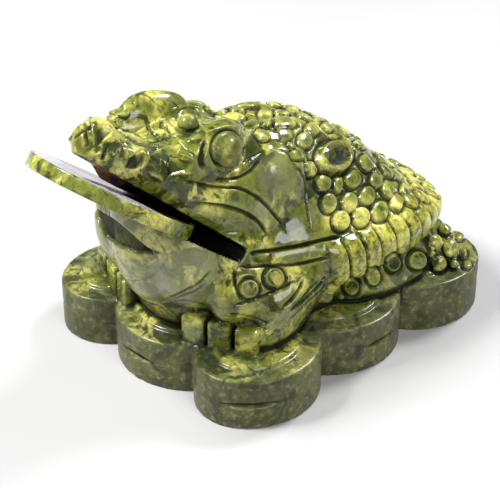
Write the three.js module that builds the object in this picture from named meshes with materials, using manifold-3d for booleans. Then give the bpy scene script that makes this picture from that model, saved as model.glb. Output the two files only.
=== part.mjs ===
import * as THREE from 'three';
import { mergeVertices } from 'three/addons/utils/BufferGeometryUtils.js';
import Module from 'manifold-3d';

// A carved stone money toad on a lobed plinth, with a loose stone coin in its mouth.
// Millimetres, +Z up. The toad looks along -Y and its left side is +X.
// The origin is on the underside, in the middle of the plinth.

// Plinth
const PLINTH_LENGTH = 250;
const PLINTH_WIDTH = 206;
const PLINTH_HEIGHT = 34.5;
const PLINTH_EDGE = 2.5;
const TIER_INSET = 13;
const TIER_HEIGHT = 2.5;
const CORNER_SLIT = 52;
const SIDE_SLIT = 38;
const SLIT_HEIGHT = 5;
const SLIT_DEPTH = 3;

// Coin held in the mouth, and the gap left behind it
const COIN_DIAMETER = 108;
const COIN_THICKNESS = 9;
const COIN_EDGE = 1;
const COIN_CLEARANCE = 0.35;
const COIN_BACK_GAP = 16.5;

// Mouth slot: slope of its floor, play over the coin at its rear, and how far it widens forward
const MOUTH_SLOPE = 36.5;
const MOUTH_PLAY = 0.2;
const MOUTH_WIDENING = 5.2;

// Toad: every place and size of the figure below is a share of this length,
// written as its number in a figure 290 long from the snout to the rump.
const FIGURE_LENGTH = 290;
const share = FIGURE_LENGTH / 290;

const wasm = await Module();
wasm.setup();

const radians = THREE.MathUtils.degToRad;
const { smoothstep } = THREE.MathUtils;

/** Closed solid from a three.js geometry. */
function solid(geometry) {
  const bare = geometry.clone();
  bare.deleteAttribute('normal');
  bare.deleteAttribute('uv');
  const merged = mergeVertices(bare, 1e-4);
  const vertProperties = new Float32Array(merged.attributes.position.array);
  const triVerts = new Uint32Array(merged.index.array);
  return new wasm.Manifold(new wasm.Mesh({ numProp: 3, vertProperties, triVerts }));
}

/** three.js geometry from a solid. */
function geometryOf(body) {
  const mesh = body.getMesh();
  const geometry = new THREE.BufferGeometry();
  const positions = new Float32Array(mesh.vertProperties);
  geometry.setAttribute('position', new THREE.BufferAttribute(positions, 3));
  geometry.setIndex(new THREE.BufferAttribute(new Uint32Array(mesh.triVerts), 1));
  geometry.computeVertexNormals();
  return geometry;
}

/** All solids of a list joined into one. */
function joined(solids) {
  return solids.reduce((whole, next) => whole.add(next));
}

/** A solid without the pockets that are closed off inside it where forms meet. */
function filled(body) {
  return joined(body.decompose().filter((part) => part.volume() > 0));
}

/** A place in the figure's own numbers, with its height measured from the plinth's top. */
function at(x, y, z) {
  return new THREE.Vector3(x * share, y * share, PLINTH_HEIGHT + z * share);
}

/** A point mirrored to the other side of the toad where side is -1. */
function sided(point, side) {
  return new THREE.Vector3(point.x * side, point.y, point.z);
}

/** Each vertex of a geometry moved by a function of its old place. */
function moved(geometry, move) {
  const position = geometry.attributes.position;
  const point = new THREE.Vector3();
  for (let i = 0; i < position.count; i += 1) {
    point.fromBufferAttribute(position, i);
    const place = move(point);
    position.setXYZ(i, place.x, place.y, place.z);
  }
  return geometry;
}

/** Solids made for both sides of the toad. */
function bothSides(build) {
  return [build(1), build(-1)].flat();
}

/** Slope of one column of a table of stations between a station and the next. */
function slopeOf(stations, k, column) {
  return (stations[k + 1][column] - stations[k][column]) / (stations[k + 1][0] - stations[k][0]);
}

/** Slope of the smooth curve through a column at a station, flat where the column turns. */
function tangentOf(stations, k, column) {
  const last = stations.length - 1;
  if (k === 0 || k === last) return slopeOf(stations, Math.min(k, last - 1), column);
  const before = slopeOf(stations, k - 1, column);
  const after = slopeOf(stations, k, column);
  return before * after > 0 ? (2 * before * after) / (before + after) : 0;
}

/** Smooth reading of one column of a table of stations at a place along the toad. */
function along(stations, place, column) {
  const last = stations.length - 1;
  if (place <= stations[0][0]) return stations[0][column];
  if (place >= stations[last][0]) return stations[last][column];
  let i = 0;
  while (place > stations[i + 1][0]) i += 1;
  const span = stations[i + 1][0] - stations[i][0];
  const t = (place - stations[i][0]) / span;
  const start = (2 * t ** 3 - 3 * t ** 2 + 1) * stations[i][column];
  const end = (3 * t ** 2 - 2 * t ** 3) * stations[i + 1][column];
  const leave = (t ** 3 - 2 * t ** 2 + t) * span * tangentOf(stations, i, column);
  const arrive = (t ** 3 - t ** 2) * span * tangentOf(stations, i + 1, column);
  return start + end + leave + arrive;
}

/** Signed power, for superellipses. */
function spow(value, exponent) {
  return Math.sign(value) * Math.abs(value) ** exponent;
}

/** Share of full size left near the rounded ends of a loft. */
function endRound(y, { front, frontRound, rear, rearRound }) {
  const toFront = Math.max(0, (front + frontRound - y) / frontRound);
  const toRear = Math.max(0, (y - rear + rearRound) / rearRound);
  const away = Math.min(1, Math.max(toFront, toRear));
  return Math.sqrt(1 - away * away);
}

// Torso: y, half width, height of the widest line, height of the apex above the plinth
const TORSO = [
  [-110, 42, 22, 52],
  [-90, 48, 34, 84],
  [-76, 55, 44, 104],
  [-52, 68, 48, 123],
  [-24, 80, 48, 131],
  [0, 83, 46, 127.5],
  [30, 83, 45, 113],
  [60, 79, 43, 89],
  [80, 72, 41, 67],
  [94, 65, 39, 51],
  [120, 50, 36, 40],
];
const TORSO_ENDS = { front: -110, frontRound: 34, rear: 120, rearRound: 26 };
const TORSO_FLOOR = -16;
const DOME_POWER = 1.2;
const FLANK_POWER = 2.4;
const SPINE_VALLEY = 0.17;
const SPINE_WIDTH = 13;

// Belt round the flank: where it starts, its lower and upper edge, how proud it stands
const BELT_START = -26;
const BELT_LOW = 27;
const BELT_HIGH = 56;
const BELT_PROUD = 3.5;
const BELT_FADE = 3;

/** Rise of the belt that runs round the flank, from 0 to 1. */
function beltRise(y, z) {
  const inLength = smoothstep(y, BELT_START - BELT_FADE, BELT_START + BELT_FADE);
  const low = smoothstep(z, BELT_LOW - BELT_FADE, BELT_LOW + BELT_FADE);
  const high = 1 - smoothstep(z, BELT_HIGH - BELT_FADE, BELT_HIGH + BELT_FADE);
  return inLength * low * high;
}

/** Point of the torso's skin: y along it, angle round it from the left flank over the back. */
function torsoPoint(y, angle) {
  const round = endRound(y, TORSO_ENDS);
  const half = along(TORSO, y, 1) * round;
  const middle = along(TORSO, y, 2);
  const apex = along(TORSO, y, 3);
  const up = Math.sin(angle) >= 0;
  const power = 2 / (up ? DOME_POWER : FLANK_POWER);
  const reach = (up ? apex - middle : middle - TORSO_FLOOR) * round;
  const x = half * spow(Math.cos(angle), power);
  let z = middle + reach * spow(Math.sin(angle), power);
  if (up) z -= SPINE_VALLEY * reach * Math.exp(-((x / SPINE_WIDTH) ** 2));
  const proud = BELT_PROUD * beltRise(y, z) * round;
  return at(x + proud * Math.cos(angle), y, z);
}

// Head above the mouth: y, half width, height of its underside, height of its top
const HEAD = [
  [-163, 11, 139, 152],
  [-150, 16, 129, 157],
  [-138, 21, 117, 151],
  [-120, 30, 100, 137],
  [-100, 40, 82, 129],
  [-76, 50, 60, 129],
  [-50, 55, 48, 124],
  [-14, 46, 46, 104],
];
const HEAD_ENDS = { front: -163, frontRound: 10, rear: -14, rearRound: 26 };
const HEAD_POWER = 2.6;
const HEAD_MIDDLE = 0.35;
const HEAD_BELOW = 4;

/** Point of the upper head's skin. */
function headPoint(y, angle) {
  const round = endRound(y, HEAD_ENDS);
  const half = along(HEAD, y, 1) * round;
  const low = along(HEAD, y, 2);
  const top = along(HEAD, y, 3);
  const middle = low + HEAD_MIDDLE * (top - low);
  const up = Math.sin(angle) >= 0;
  const reach = (up ? top - middle : middle - low + HEAD_BELOW) * round;
  const x = half * spow(Math.cos(angle), 2 / HEAD_POWER);
  const z = middle + reach * spow(Math.sin(angle), 2 / HEAD_POWER);
  return at(x, y, z);
}

/** Loft from a skin function over a sphere whose poles lie on the Y axis. */
function loft(skin, { front, rear }, around, lengthwise) {
  const sphere = new THREE.SphereGeometry(1, around, lengthwise);
  sphere.rotateX(Math.PI / 2);
  return solid(moved(sphere, (p) => {
    const pole = Math.hypot(p.x, p.z) < 1e-6;
    const y = (front + rear) / 2 + ((rear - front) / 2) * p.y;
    return skin(y, pole ? 0 : Math.atan2(p.z, p.x));
  }));
}

/** Outward normal of a skin at a place along it and an angle round it. */
function normalOf(skin, y, angle) {
  const lengthwise = skin(y + 2, angle).sub(skin(y - 2, angle));
  const around = skin(y, angle + 0.04).sub(skin(y, angle - 0.04));
  return lengthwise.cross(around).normalize();
}

/** Ball stretched along its axes, then turned about X, Y and Z in degrees. */
function ball([x, y, z], [rx, ry, rz], { turn = [0, 0, 0], around = 8, rings = 6 } = {}) {
  const sphere = new THREE.SphereGeometry(1, around, rings);
  sphere.scale(rx * share, ry * share, rz * share);
  const euler = new THREE.Euler(...turn.map(radians));
  sphere.applyMatrix4(new THREE.Matrix4().makeRotationFromEuler(euler));
  const place = at(x, y, z);
  sphere.translate(place.x, place.y, place.z);
  return solid(sphere);
}

/** Upright block with chamfered edges, turned about Z. */
function block([x, y, z], [wide, deep, high], chamfer, degrees) {
  const edge = chamfer * share;
  const w = (wide / 2) * share - edge;
  const d = (deep / 2) * share - edge;
  const corners = [[-w, -d], [w, -d], [w, d], [-w, d]];
  const outline = new THREE.Shape(corners.map(([a, b]) => new THREE.Vector2(a, b)));
  const depth = high * share - 2 * edge;
  const box = new THREE.ExtrudeGeometry(outline, {
    depth, bevelThickness: edge, bevelSize: edge, bevelSegments: 1,
  });
  box.translate(0, 0, -depth / 2);
  box.rotateZ(radians(degrees));
  const place = at(x, y, z);
  box.translate(place.x, place.y, place.z);
  return solid(box);
}

/** Turned form set on a skin: its profile runs from below the skin outward along the normal. */
function turned(profile, sides, place, normal) {
  const round = new THREE.LatheGeometry(profile.map(([r, h]) => new THREE.Vector2(r, h)), sides);
  const turn = new THREE.Quaternion().setFromUnitVectors(new THREE.Vector3(0, 1, 0), normal);
  round.applyQuaternion(turn);
  round.translate(place.x, place.y, place.z);
  return solid(round);
}

/** Low round boss with its foot sunk in the skin. */
function boss(place, normal, radius, height) {
  const r = radius * share;
  const h = height * share;
  return turned([[0, -h], [r, -h], [0.78 * r, h], [0, h]], 6, place, normal);
}

/** Pointed cut with a diamond section that follows a path, to take away from a skin. */
function incision(path, outward, halfWidth, depth, steps) {
  const diamond = new THREE.SphereGeometry(1, 4, steps);
  return solid(moved(diamond, (p) => {
    const t = (1 + p.y) / 2;
    const place = path(t);
    const tangent = path(Math.min(1, t + 0.02)).sub(path(Math.max(0, t - 0.02))).normalize();
    const out = outward(t).normalize();
    const across = out.clone().cross(tangent).normalize();
    return place.addScaledVector(out, depth * p.x).addScaledVector(across, halfWidth * p.z);
  }));
}

// Rows of round warts on the back: angle round the torso, first y, last y, radius
const WART_PITCH = 18.2;
const WART_HEIGHT = 2.4;
const WART_ROWS = [
  [24.5, -10, 80, 7.4],
  [33.5, -19, 72, 7.2],
  [42, -10, 80, 7],
  [50.5, -19, 72, 6.8],
  [61.5, -28, 80, 6.6],
];

// Large ring on each side of the back
const RING_Y = 15;
const RING_ANGLE = 49;
const RING_RADIUS = 12.5;

/** The warts of both sides of the back, left out where the large ring stands. */
function warts() {
  const solids = [];
  const ring = torsoPoint(RING_Y, radians(RING_ANGLE));
  for (const [degrees, first, last, radius] of WART_ROWS) {
    const angle = radians(degrees);
    for (let y = first; y <= last; y += WART_PITCH) {
      const place = torsoPoint(y, angle);
      if (place.distanceTo(ring) < (RING_RADIUS + 0.75 * radius) * share) continue;
      const normal = normalOf(torsoPoint, y, angle);
      const wart = (side) => boss(sided(place, side), sided(normal, side), radius, WART_HEIGHT);
      solids.push(...bothSides(wart));
    }
  }
  return solids;
}

/** The large rings on the back: a raised collar round a hollow. */
function rings() {
  const angle = radians(RING_ANGLE);
  const place = torsoPoint(RING_Y, angle);
  const normal = normalOf(torsoPoint, RING_Y, angle);
  const r = RING_RADIUS * share;
  const profile = [[0, -0.5], [1, -0.5], [1, 0.12], [0.8, 0.32], [0.58, 0.28], [0.42, 0.04], [0, 0]]
    .map(([a, b]) => [a * r, b * r]);
  return bothSides((side) => turned(profile, 10, sided(place, side), sided(normal, side)));
}

// Round bosses on the shoulders and along the haunches, and the middle that they face away from
const SHOULDER_MIDDLE = [45, -62, 30];
const SHOULDER_BOSSES = [[65.5, -86, 46], [69, -68, 48]];
const HAUNCH_MIDDLE = [62, 34, 8];
const HAUNCH_BOSSES = [[81, 6, 17], [84, 25, 18], [84.5, 44, 18], [81, 63, 16]];
const BOSS_RADIUS = 6;
const BOSS_HEIGHT = 2;

/** Low bosses on both sides, facing away from the middle of the form that carries them. */
function flankBosses(places, middle) {
  return places.flatMap(([x, y, z]) => bothSides((side) => {
    const place = at(x, y, z);
    const normal = place.clone().sub(at(middle[0], (middle[1] + y) / 2, middle[2])).normalize();
    return boss(sided(place, side), sided(normal, side), BOSS_RADIUS, BOSS_HEIGHT);
  }));
}

// Notches that part the belt into knuckles
const NOTCH_FIRST = -20;
const NOTCH_LAST = 110;
const NOTCH_PITCH = 14.4;
const NOTCH_LENGTH = 34;
const NOTCH_HALF_WIDTH = 2.5;
const NOTCH_DEPTH = 5;

/** Upright notches across the belt, to cut away. */
function notches() {
  const solids = [];
  for (let y = NOTCH_FIRST; y <= NOTCH_LAST; y += NOTCH_PITCH) {
    const place = torsoPoint(y, 0);
    const normal = normalOf(torsoPoint, y, 0);
    const half = (NOTCH_LENGTH / 2) * share;
    solids.push(...bothSides((side) => incision(
      (t) => sided(place, side).add(new THREE.Vector3(0, 0, (2 * t - 1) * half)),
      () => sided(normal, side),
      NOTCH_HALF_WIDTH * share,
      NOTCH_DEPTH * share,
      2,
    )));
  }
  return solids;
}

// Grooves as places on the left side, and the middle of the form that they are cut into
const CHEEK_MIDDLE = [0, -70, 95];
const CHEEK_GROOVES = [
  [[29, -120, 121], [43, -90, 108], [52, -64, 94], [54.5, -54, 82], [57, -47, 71]],
  [[36.5, -106, 103], [44.5, -90, 98], [50, -76, 91], [53, -63, 76], [56, -57, 65]],
];
const JAW_MIDDLE = [20, -40, 30];
const JAW_GROOVES = [
  [[57, -72, 60], [64, -47.5, 60], [75, -19, 59.5]],
  [[56, -83, 54], [63, -60, 50], [79, -30, 50]],
];
const CHIN_MIDDLE = [0, -93, 70];
const CHIN_GROOVE = [[29, -119, 68], [14, -129.5, 71], [0, -133, 73], [-14, -129.5, 71], [-29, -119, 68]];

/** Groove through a few places, cut towards the middle of the form that it lies on. */
function groove(places, middle, width, depth, side) {
  const curve = new THREE.CatmullRomCurve3(places.map((place) => sided(at(...place), side)));
  const centre = sided(at(...middle), side);
  const outward = (t) => curve.getPoint(t).sub(centre);
  return incision((t) => curve.getPoint(t), outward, (width / 2) * share, depth * share, 5);
}

/** All that is cut into the figure: cheek grooves, jaw grooves, chin groove and belt notches. */
function carving() {
  return [
    ...bothSides((side) => [
      ...CHEEK_GROOVES.map((places) => groove(places, CHEEK_MIDDLE, 6, 3, side)),
      ...JAW_GROOVES.map((places) => groove(places, JAW_MIDDLE, 5, 3.5, side)),
    ]),
    groove(CHIN_GROOVE, CHIN_MIDDLE, 7, 3.5, 1),
    ...notches(),
  ];
}

/** Head forms: snout, nostril swellings, brows, eyes and the pearl in its lids on the forehead. */
function headForms() {
  return [
    ball([0, -147, 146.5], [13.5, 13, 14], { around: 10 }),
    ball([0, -80, 127], [10, 22, 5], { turn: [-6, 0, 0], rings: 4 }),
    ball([0, -75, 131], [7, 7, 7.5], { rings: 5 }),
    ...bothSides((side) => [
      ball([side * 14, -132, 132], [10, 12, 11], { rings: 5 }),
      ball([side * 31, -83, 127], [12, 32, 17], { turn: [0, 0, side * 8], around: 9 }),
      ball([side * 28, -57, 115], [12, 26, 12.5], { rings: 5 }),
      ball([side * 39.5, -80, 130], [10, 10.5, 12]),
    ]),
  ];
}

// Toes: places of the three toes of a front foot, their size, and the turn of the row
const TOES = [[31, -98], [48.5, -92], [66, -85]];
const TOE_SIZE = [15.5, 20, 21];
const TOE_EDGE = 3;
const FOOT_TURN = 21;

/** Legs in front: shoulder, upper arm, forearm, foot and three toes on each side. */
function frontLegs() {
  return bothSides((side) => [
    ball([side * 48, -70, 35], [22, 34, 25], { turn: [0, 0, side * 12], around: 10 }),
    ball([side * 67, -50, 28], [14, 34, 19], { turn: [24, 0, 0] }),
    ball([side * 64, -56, 10], [13, 34, 13], { turn: [0, 0, side * 12], rings: 5 }),
    ball([side * 50, -83, 8], [27, 16, 14], { turn: [0, 0, side * FOOT_TURN], rings: 5 }),
    ...TOES.map(([x, y]) => (
      block([side * x, y, TOE_SIZE[2] / 2 - 1], TOE_SIZE, TOE_EDGE, side * FOOT_TURN)
    )),
  ]);
}

// Tail-like third leg that curls to the left, as balls: place and radius; then the nubs on it
const TAIL = [
  [16, 103, 8, 17],
  [36, 102, 5, 18],
  [56, 95, 2, 18],
  [74, 87, 0, 17],
];
const NUBS = [
  [67, 87, 14, 6.5],
  [79, 87, 10, 6.5],
  [88, 82, 5, 6],
  [70, 100, 8, 6.5],
  [82, 97, 5, 6],
  [56, 105, 9, 6.5],
  [89, 70, 5, 5.5],
  [79, 73, 11, 6],
];

/** Haunches that lie along the flanks, and the third leg with its nubs. */
function hindParts() {
  const haunch = (side) => ball([side * 65, 38, 10], [22, 50, 19], {
    turn: [0, 0, side * -3], rings: 7,
  });
  const tail = TAIL.map(([x, y, z, r]) => ball([x, y, z], [r, r, r * 0.8], { rings: 5 }));
  const nubs = NUBS.map(([x, y, z, r]) => ball([x, y, z], [r, r, r], { around: 5, rings: 4 }));
  return [...bothSides(haunch), ...tail, ...nubs];
}

// Mouth frame: its origin is at the slot's rear wall on its floor, -Y runs forward up the floor
const MOUTH_REAR_Y = -85.2;
const MOUTH_REAR_Z = 60.7;
const MOUTH_REAR = at(0, MOUTH_REAR_Y, MOUTH_REAR_Z);
const mouthPlace = new THREE.Matrix4().makeTranslation(MOUTH_REAR)
  .multiply(new THREE.Matrix4().makeRotationX(radians(-MOUTH_SLOPE)));
const mouthRearHeight = COIN_THICKNESS + MOUTH_PLAY;

/** The mouth slot: a wedge through the whole head whose floor carries the coin. */
function mouthSlot() {
  const length = FIGURE_LENGTH;
  const rise = Math.tan(radians(MOUTH_WIDENING)) * length;
  const corners = [
    [0, 0], [0, mouthRearHeight], [-length, mouthRearHeight + rise], [-length, 0],
  ];
  const outline = new THREE.Shape(corners.map(([y, z]) => new THREE.Vector2(y, z)));
  const wide = FIGURE_LENGTH;
  const wedge = new THREE.ExtrudeGeometry(outline, { depth: wide, bevelEnabled: false });
  wedge.translate(0, 0, -wide / 2);
  wedge.applyMatrix4(new THREE.Matrix4().makeBasis(
    new THREE.Vector3(0, 1, 0),
    new THREE.Vector3(0, 0, 1),
    new THREE.Vector3(1, 0, 0),
  ));
  wedge.applyMatrix4(mouthPlace);
  return solid(wedge);
}

/** Everything on one side of the mouth slot, as a great block to cut with. */
function mouthSide(above) {
  const great = 4 * FIGURE_LENGTH;
  const box = new THREE.BoxGeometry(great, great, great);
  if (above) {
    box.translate(0, 0, great / 2);
  } else {
    box.translate(0, 0, -great / 2);
    box.rotateX(radians(-MOUTH_WIDENING));
    box.translate(0, 0, mouthRearHeight);
  }
  box.applyMatrix4(mouthPlace);
  return solid(box);
}

/** The loose coin: a disc with bevelled edges, lying on the slot's floor. */
function coinSolid() {
  const r = COIN_DIAMETER / 2;
  const h = COIN_THICKNESS / 2;
  const profile = [
    [0, -h], [r - COIN_EDGE, -h], [r, -h + COIN_EDGE],
    [r, h - COIN_EDGE], [r - COIN_EDGE, h], [0, h],
  ];
  const disc = new THREE.LatheGeometry(profile.map(([x, y]) => new THREE.Vector2(x, y)), 32);
  disc.rotateX(Math.PI / 2);
  disc.translate(0, -COIN_BACK_GAP - r, COIN_CLEARANCE + h);
  disc.applyMatrix4(mouthPlace);
  return solid(disc);
}

/** One lobe of the plinth: a round block, with a softened upper edge where edge isn't 0. */
function lobe(x, y, rx, ry, { low, high, edge, sides }) {
  const profile = [[0, low], [1, low], [1, high - edge]];
  if (edge > 0) profile.push([1 - edge / rx, high]);
  profile.push([0, high]);
  const round = new THREE.LatheGeometry(profile.map(([r, z]) => new THREE.Vector2(r, z)), sides);
  round.rotateX(Math.PI / 2);
  round.scale(rx, ry, 1);
  round.translate(x, y, 0);
  return solid(round);
}

// Lobes as shares of the plinth's half width and half length: x, y, radius in x, radius in y
const LOBES = [
  [0.637, 0.632, 0.363, 0.352],
  [0.637, -0.632, 0.363, 0.352],
  [-0.637, 0.632, 0.363, 0.352],
  [-0.637, -0.632, 0.363, 0.352],
  [0, 0.598, 0.49, 0.402],
  [0, -0.598, 0.49, 0.402],
  [0.475, 0, 0.495, 0.406],
  [-0.475, 0, 0.495, 0.406],
];
const LOBE_CORE = [0, 0, 0.7, 0.75];

/** Lobed block: eight round lobes and the middle that they stand round. */
function lobed(inset, profile) {
  const w = PLINTH_WIDTH / 2;
  const l = PLINTH_LENGTH / 2;
  return joined([...LOBES, LOBE_CORE].map(([x, y, rx, ry]) => (
    lobe(x * w, y * l, rx * w - inset, ry * l - inset, profile)
  )));
}

/** Thin pointed slit along the outer face of a lobe, half way up it, to cut away. */
function slit([x, y, rx, ry]) {
  const w = PLINTH_WIDTH / 2;
  const l = PLINTH_LENGTH / 2;
  const length = x !== 0 && y !== 0 ? CORNER_SLIT : SIDE_SLIT;
  const spread = length / (rx * w + ry * l);
  const middle = Math.atan2(Math.sign(y), Math.sign(x));
  const direction = (t) => middle + spread * (2 * t - 1);
  const path = (t) => new THREE.Vector3(
    x * w + rx * w * Math.cos(direction(t)),
    y * l + ry * l * Math.sin(direction(t)),
    PLINTH_HEIGHT / 2,
  );
  const outward = (t) => new THREE.Vector3(Math.cos(direction(t)), Math.sin(direction(t)), 0);
  return incision(path, outward, SLIT_HEIGHT / 2, SLIT_DEPTH, 5);
}

/** The plinth with its slits and the low tier that stands on its lobes. */
function plinthSolid() {
  const plinth = lobed(0, {
    low: 0, high: PLINTH_HEIGHT, edge: PLINTH_EDGE, sides: 20,
  });
  const high = PLINTH_HEIGHT + TIER_HEIGHT;
  const tier = lobed(TIER_INSET, { low: PLINTH_HEIGHT / 2, high, edge: 0, sides: 12 });
  return plinth.add(tier).subtract(joined(LOBES.map(slit)));
}

/** The head above the mouth slot. */
function headSolid() {
  const skull = loft(headPoint, HEAD_ENDS, 15, 11);
  return joined([skull, ...headForms()]).subtract(mouthSide(false));
}

/** The throat and chin below the mouth slot. */
function throatSolid() {
  const balls = [
    ball([0, -93, 70], [34, 40, 60], { around: 11, rings: 6 }),
    ...bothSides((side) => ball([side * 21, -86, 63], [30, 40, 46], {
      turn: [0, 0, side * 25], around: 10,
    })),
  ];
  return joined(balls).subtract(mouthSide(true));
}

/** The torso with its belt, warts and rings. */
function torsoSolid() {
  return joined([loft(torsoPoint, TORSO_ENDS, 18, 14), ...warts(), ...rings()]);
}

/** Cheeks that fill out the corners of the mouth. */
function cheeks() {
  return bothSides((side) => ball([side * 38, -74, 63], [20, 30, 16]));
}

const bosses = [
  ...flankBosses(SHOULDER_BOSSES, SHOULDER_MIDDLE),
  ...flankBosses(HAUNCH_BOSSES, HAUNCH_MIDDLE),
];
const limbs = [...cheeks(), ...frontLegs(), ...hindParts(), ...bosses];
const whole = joined([torsoSolid(), headSolid(), throatSolid(), ...limbs]);
const figure = whole.subtract(joined(carving()));
const stone = filled(plinthSolid().add(figure).subtract(mouthSlot()));

const toad = new THREE.Mesh(
  geometryOf(stone),
  new THREE.MeshStandardMaterial({ color: 0x7d8a45, roughness: 0.25, metalness: 0 }),
);
toad.name = 'toad';

const coin = new THREE.Mesh(
  geometryOf(coinSolid()),
  new THREE.MeshStandardMaterial({ color: 0x76803f, roughness: 0.3, metalness: 0 }),
);
coin.name = 'coin';

const group = new THREE.Group();
group.add(toad, coin);

export default group;
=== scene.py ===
"""Looks of a carved stone money toad that crouches on a lobed plinth with a loose coin in its mouth.

The frame is in metres. The figure is worked out in millimetres: y runs along the toad from its
snout at -y to its rump, and heights of the figure are measured from the plinth's top.
"""

import logging
import math
from collections.abc import Iterator
from dataclasses import dataclass, field
from enum import Enum

import bmesh
import bpy
import numpy as np
from mathutils import Euler, Matrix, Vector
from mathutils.bvhtree import BVHTree


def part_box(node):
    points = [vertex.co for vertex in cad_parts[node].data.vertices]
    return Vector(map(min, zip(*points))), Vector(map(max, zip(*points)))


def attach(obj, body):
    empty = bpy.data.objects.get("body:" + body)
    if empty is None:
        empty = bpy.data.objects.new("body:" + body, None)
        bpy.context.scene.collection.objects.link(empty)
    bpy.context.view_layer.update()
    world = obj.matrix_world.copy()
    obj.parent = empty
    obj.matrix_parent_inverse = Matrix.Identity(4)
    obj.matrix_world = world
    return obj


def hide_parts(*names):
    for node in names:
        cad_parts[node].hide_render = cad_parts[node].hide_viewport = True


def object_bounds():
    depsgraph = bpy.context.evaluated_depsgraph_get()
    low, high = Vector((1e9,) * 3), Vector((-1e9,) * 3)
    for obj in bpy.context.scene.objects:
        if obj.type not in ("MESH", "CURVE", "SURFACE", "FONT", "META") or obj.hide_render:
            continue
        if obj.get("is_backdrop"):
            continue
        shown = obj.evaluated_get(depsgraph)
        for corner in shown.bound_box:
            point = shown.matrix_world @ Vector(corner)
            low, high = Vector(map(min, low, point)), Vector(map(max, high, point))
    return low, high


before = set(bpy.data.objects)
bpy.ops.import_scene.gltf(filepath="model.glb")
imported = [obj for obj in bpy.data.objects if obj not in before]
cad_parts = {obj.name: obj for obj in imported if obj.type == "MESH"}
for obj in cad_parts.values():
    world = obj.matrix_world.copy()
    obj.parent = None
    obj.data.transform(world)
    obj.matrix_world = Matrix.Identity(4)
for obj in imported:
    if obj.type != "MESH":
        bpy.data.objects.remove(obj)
CAD_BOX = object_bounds()

LOG = logging.getLogger("money_toad")
MM = 0.001

# Places whose gaps to a path are measured at a time
CHUNK = 4000


class Side(Enum):
    """A side of the toad, as the sign of x on it."""

    LEFT = 1
    RIGHT = -1

    def mirror(self, places: np.ndarray | Vector) -> np.ndarray:
        """Returns places of the left side as they are on this one."""
        return np.array(places) * (self.value, 1.0, 1.0)


class Level(Enum):
    """How finely the stone is modelled, as the edge in millimetres of the last remesh."""

    FINE = 0.85
    QUICK = 1.7


LEVEL = Level.FINE


# Sizes of the plinth in millimetres, of which the frame gives the width and the length

TOAD_HIGH = np.array(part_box("toad")[1]) / MM
PLINTH_HALF_WIDTH = TOAD_HIGH[0]
PLINTH_HALF_LENGTH = TOAD_HIGH[1]
PLINTH_HEIGHT = 34.5


def at(x: float, y: float, z: float) -> Vector:
    """Returns a place of the figure in millimetres, its height measured from the plinth's top."""
    return Vector((x, y, PLINTH_HEIGHT + z))


def smooth(low: float, high: float, value: np.ndarray) -> np.ndarray:
    """Returns a smooth step of value that rises from 0 at low to 1 at high."""
    t = np.clip((value - low) / (high - low), 0.0, 1.0)
    return t * t * (3.0 - 2.0 * t)


def signed_power(value: np.ndarray, exponent: np.ndarray) -> np.ndarray:
    """Returns the power of value with its sign kept."""
    return np.sign(value) * np.abs(value) ** exponent


class Profile:
    """A smooth curve through stations along the toad that never overshoots them."""

    def __init__(self, places: tuple, values: tuple) -> None:
        """Args:
            places: Rising places along the toad.
            values: What the profile reads at each place.
        """
        self.places = np.array(places, dtype=float)
        self.values = np.array(values, dtype=float)
        slope = np.diff(self.values) / np.diff(self.places)
        before, after = slope[:-1], slope[1:]
        total = np.where(before + after == 0.0, 1.0, before + after)
        turning = np.where(before * after > 0.0, 2.0 * before * after / total, 0.0)
        self.tangents = np.concatenate(([slope[0]], turning, [slope[-1]]))

    def __call__(self, place: np.ndarray) -> np.ndarray:
        """Reads the profile.

        Args:
            place: Places along the toad.

        Returns:
            The profile's value at each place.
        """
        place = np.clip(place, self.places[0], self.places[-1])
        i = np.clip(np.searchsorted(self.places, place, side="right") - 1, 0, len(self.places) - 2)
        span = self.places[i + 1] - self.places[i]
        t = (place - self.places[i]) / span
        start = (2 * t**3 - 3 * t**2 + 1) * self.values[i]
        end = (3 * t**2 - 2 * t**3) * self.values[i + 1]
        leave = (t**3 - 2 * t**2 + t) * span * self.tangents[i]
        arrive = (t**3 - t**2) * span * self.tangents[i + 1]
        return start + end + leave + arrive


@dataclass(frozen=True)
class Ends:
    """The two rounded ends of a loft along the toad."""

    front: float
    front_round: float
    rear: float
    rear_round: float

    def share(self, y: np.ndarray) -> np.ndarray:
        """Works out how far the rounded ends shrink a loft.

        Args:
            y: Places along the toad.

        Returns:
            The share of full size that is left at each place.
        """
        to_front = np.maximum(0.0, (self.front + self.front_round - y) / self.front_round)
        to_rear = np.maximum(0.0, (y - self.rear + self.rear_round) / self.rear_round)
        away = np.minimum(1.0, np.maximum(to_front, to_rear))
        return np.sqrt(1.0 - away * away)


@dataclass
class Loft:
    """A skin lofted along the toad through stations of y and three sizes."""

    ends: Ends
    stations: tuple

    def __post_init__(self) -> None:
        """Makes a profile of each size."""
        places, *sizes = zip(*self.stations)
        self.profiles = [Profile(places, size) for size in sizes]


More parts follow.
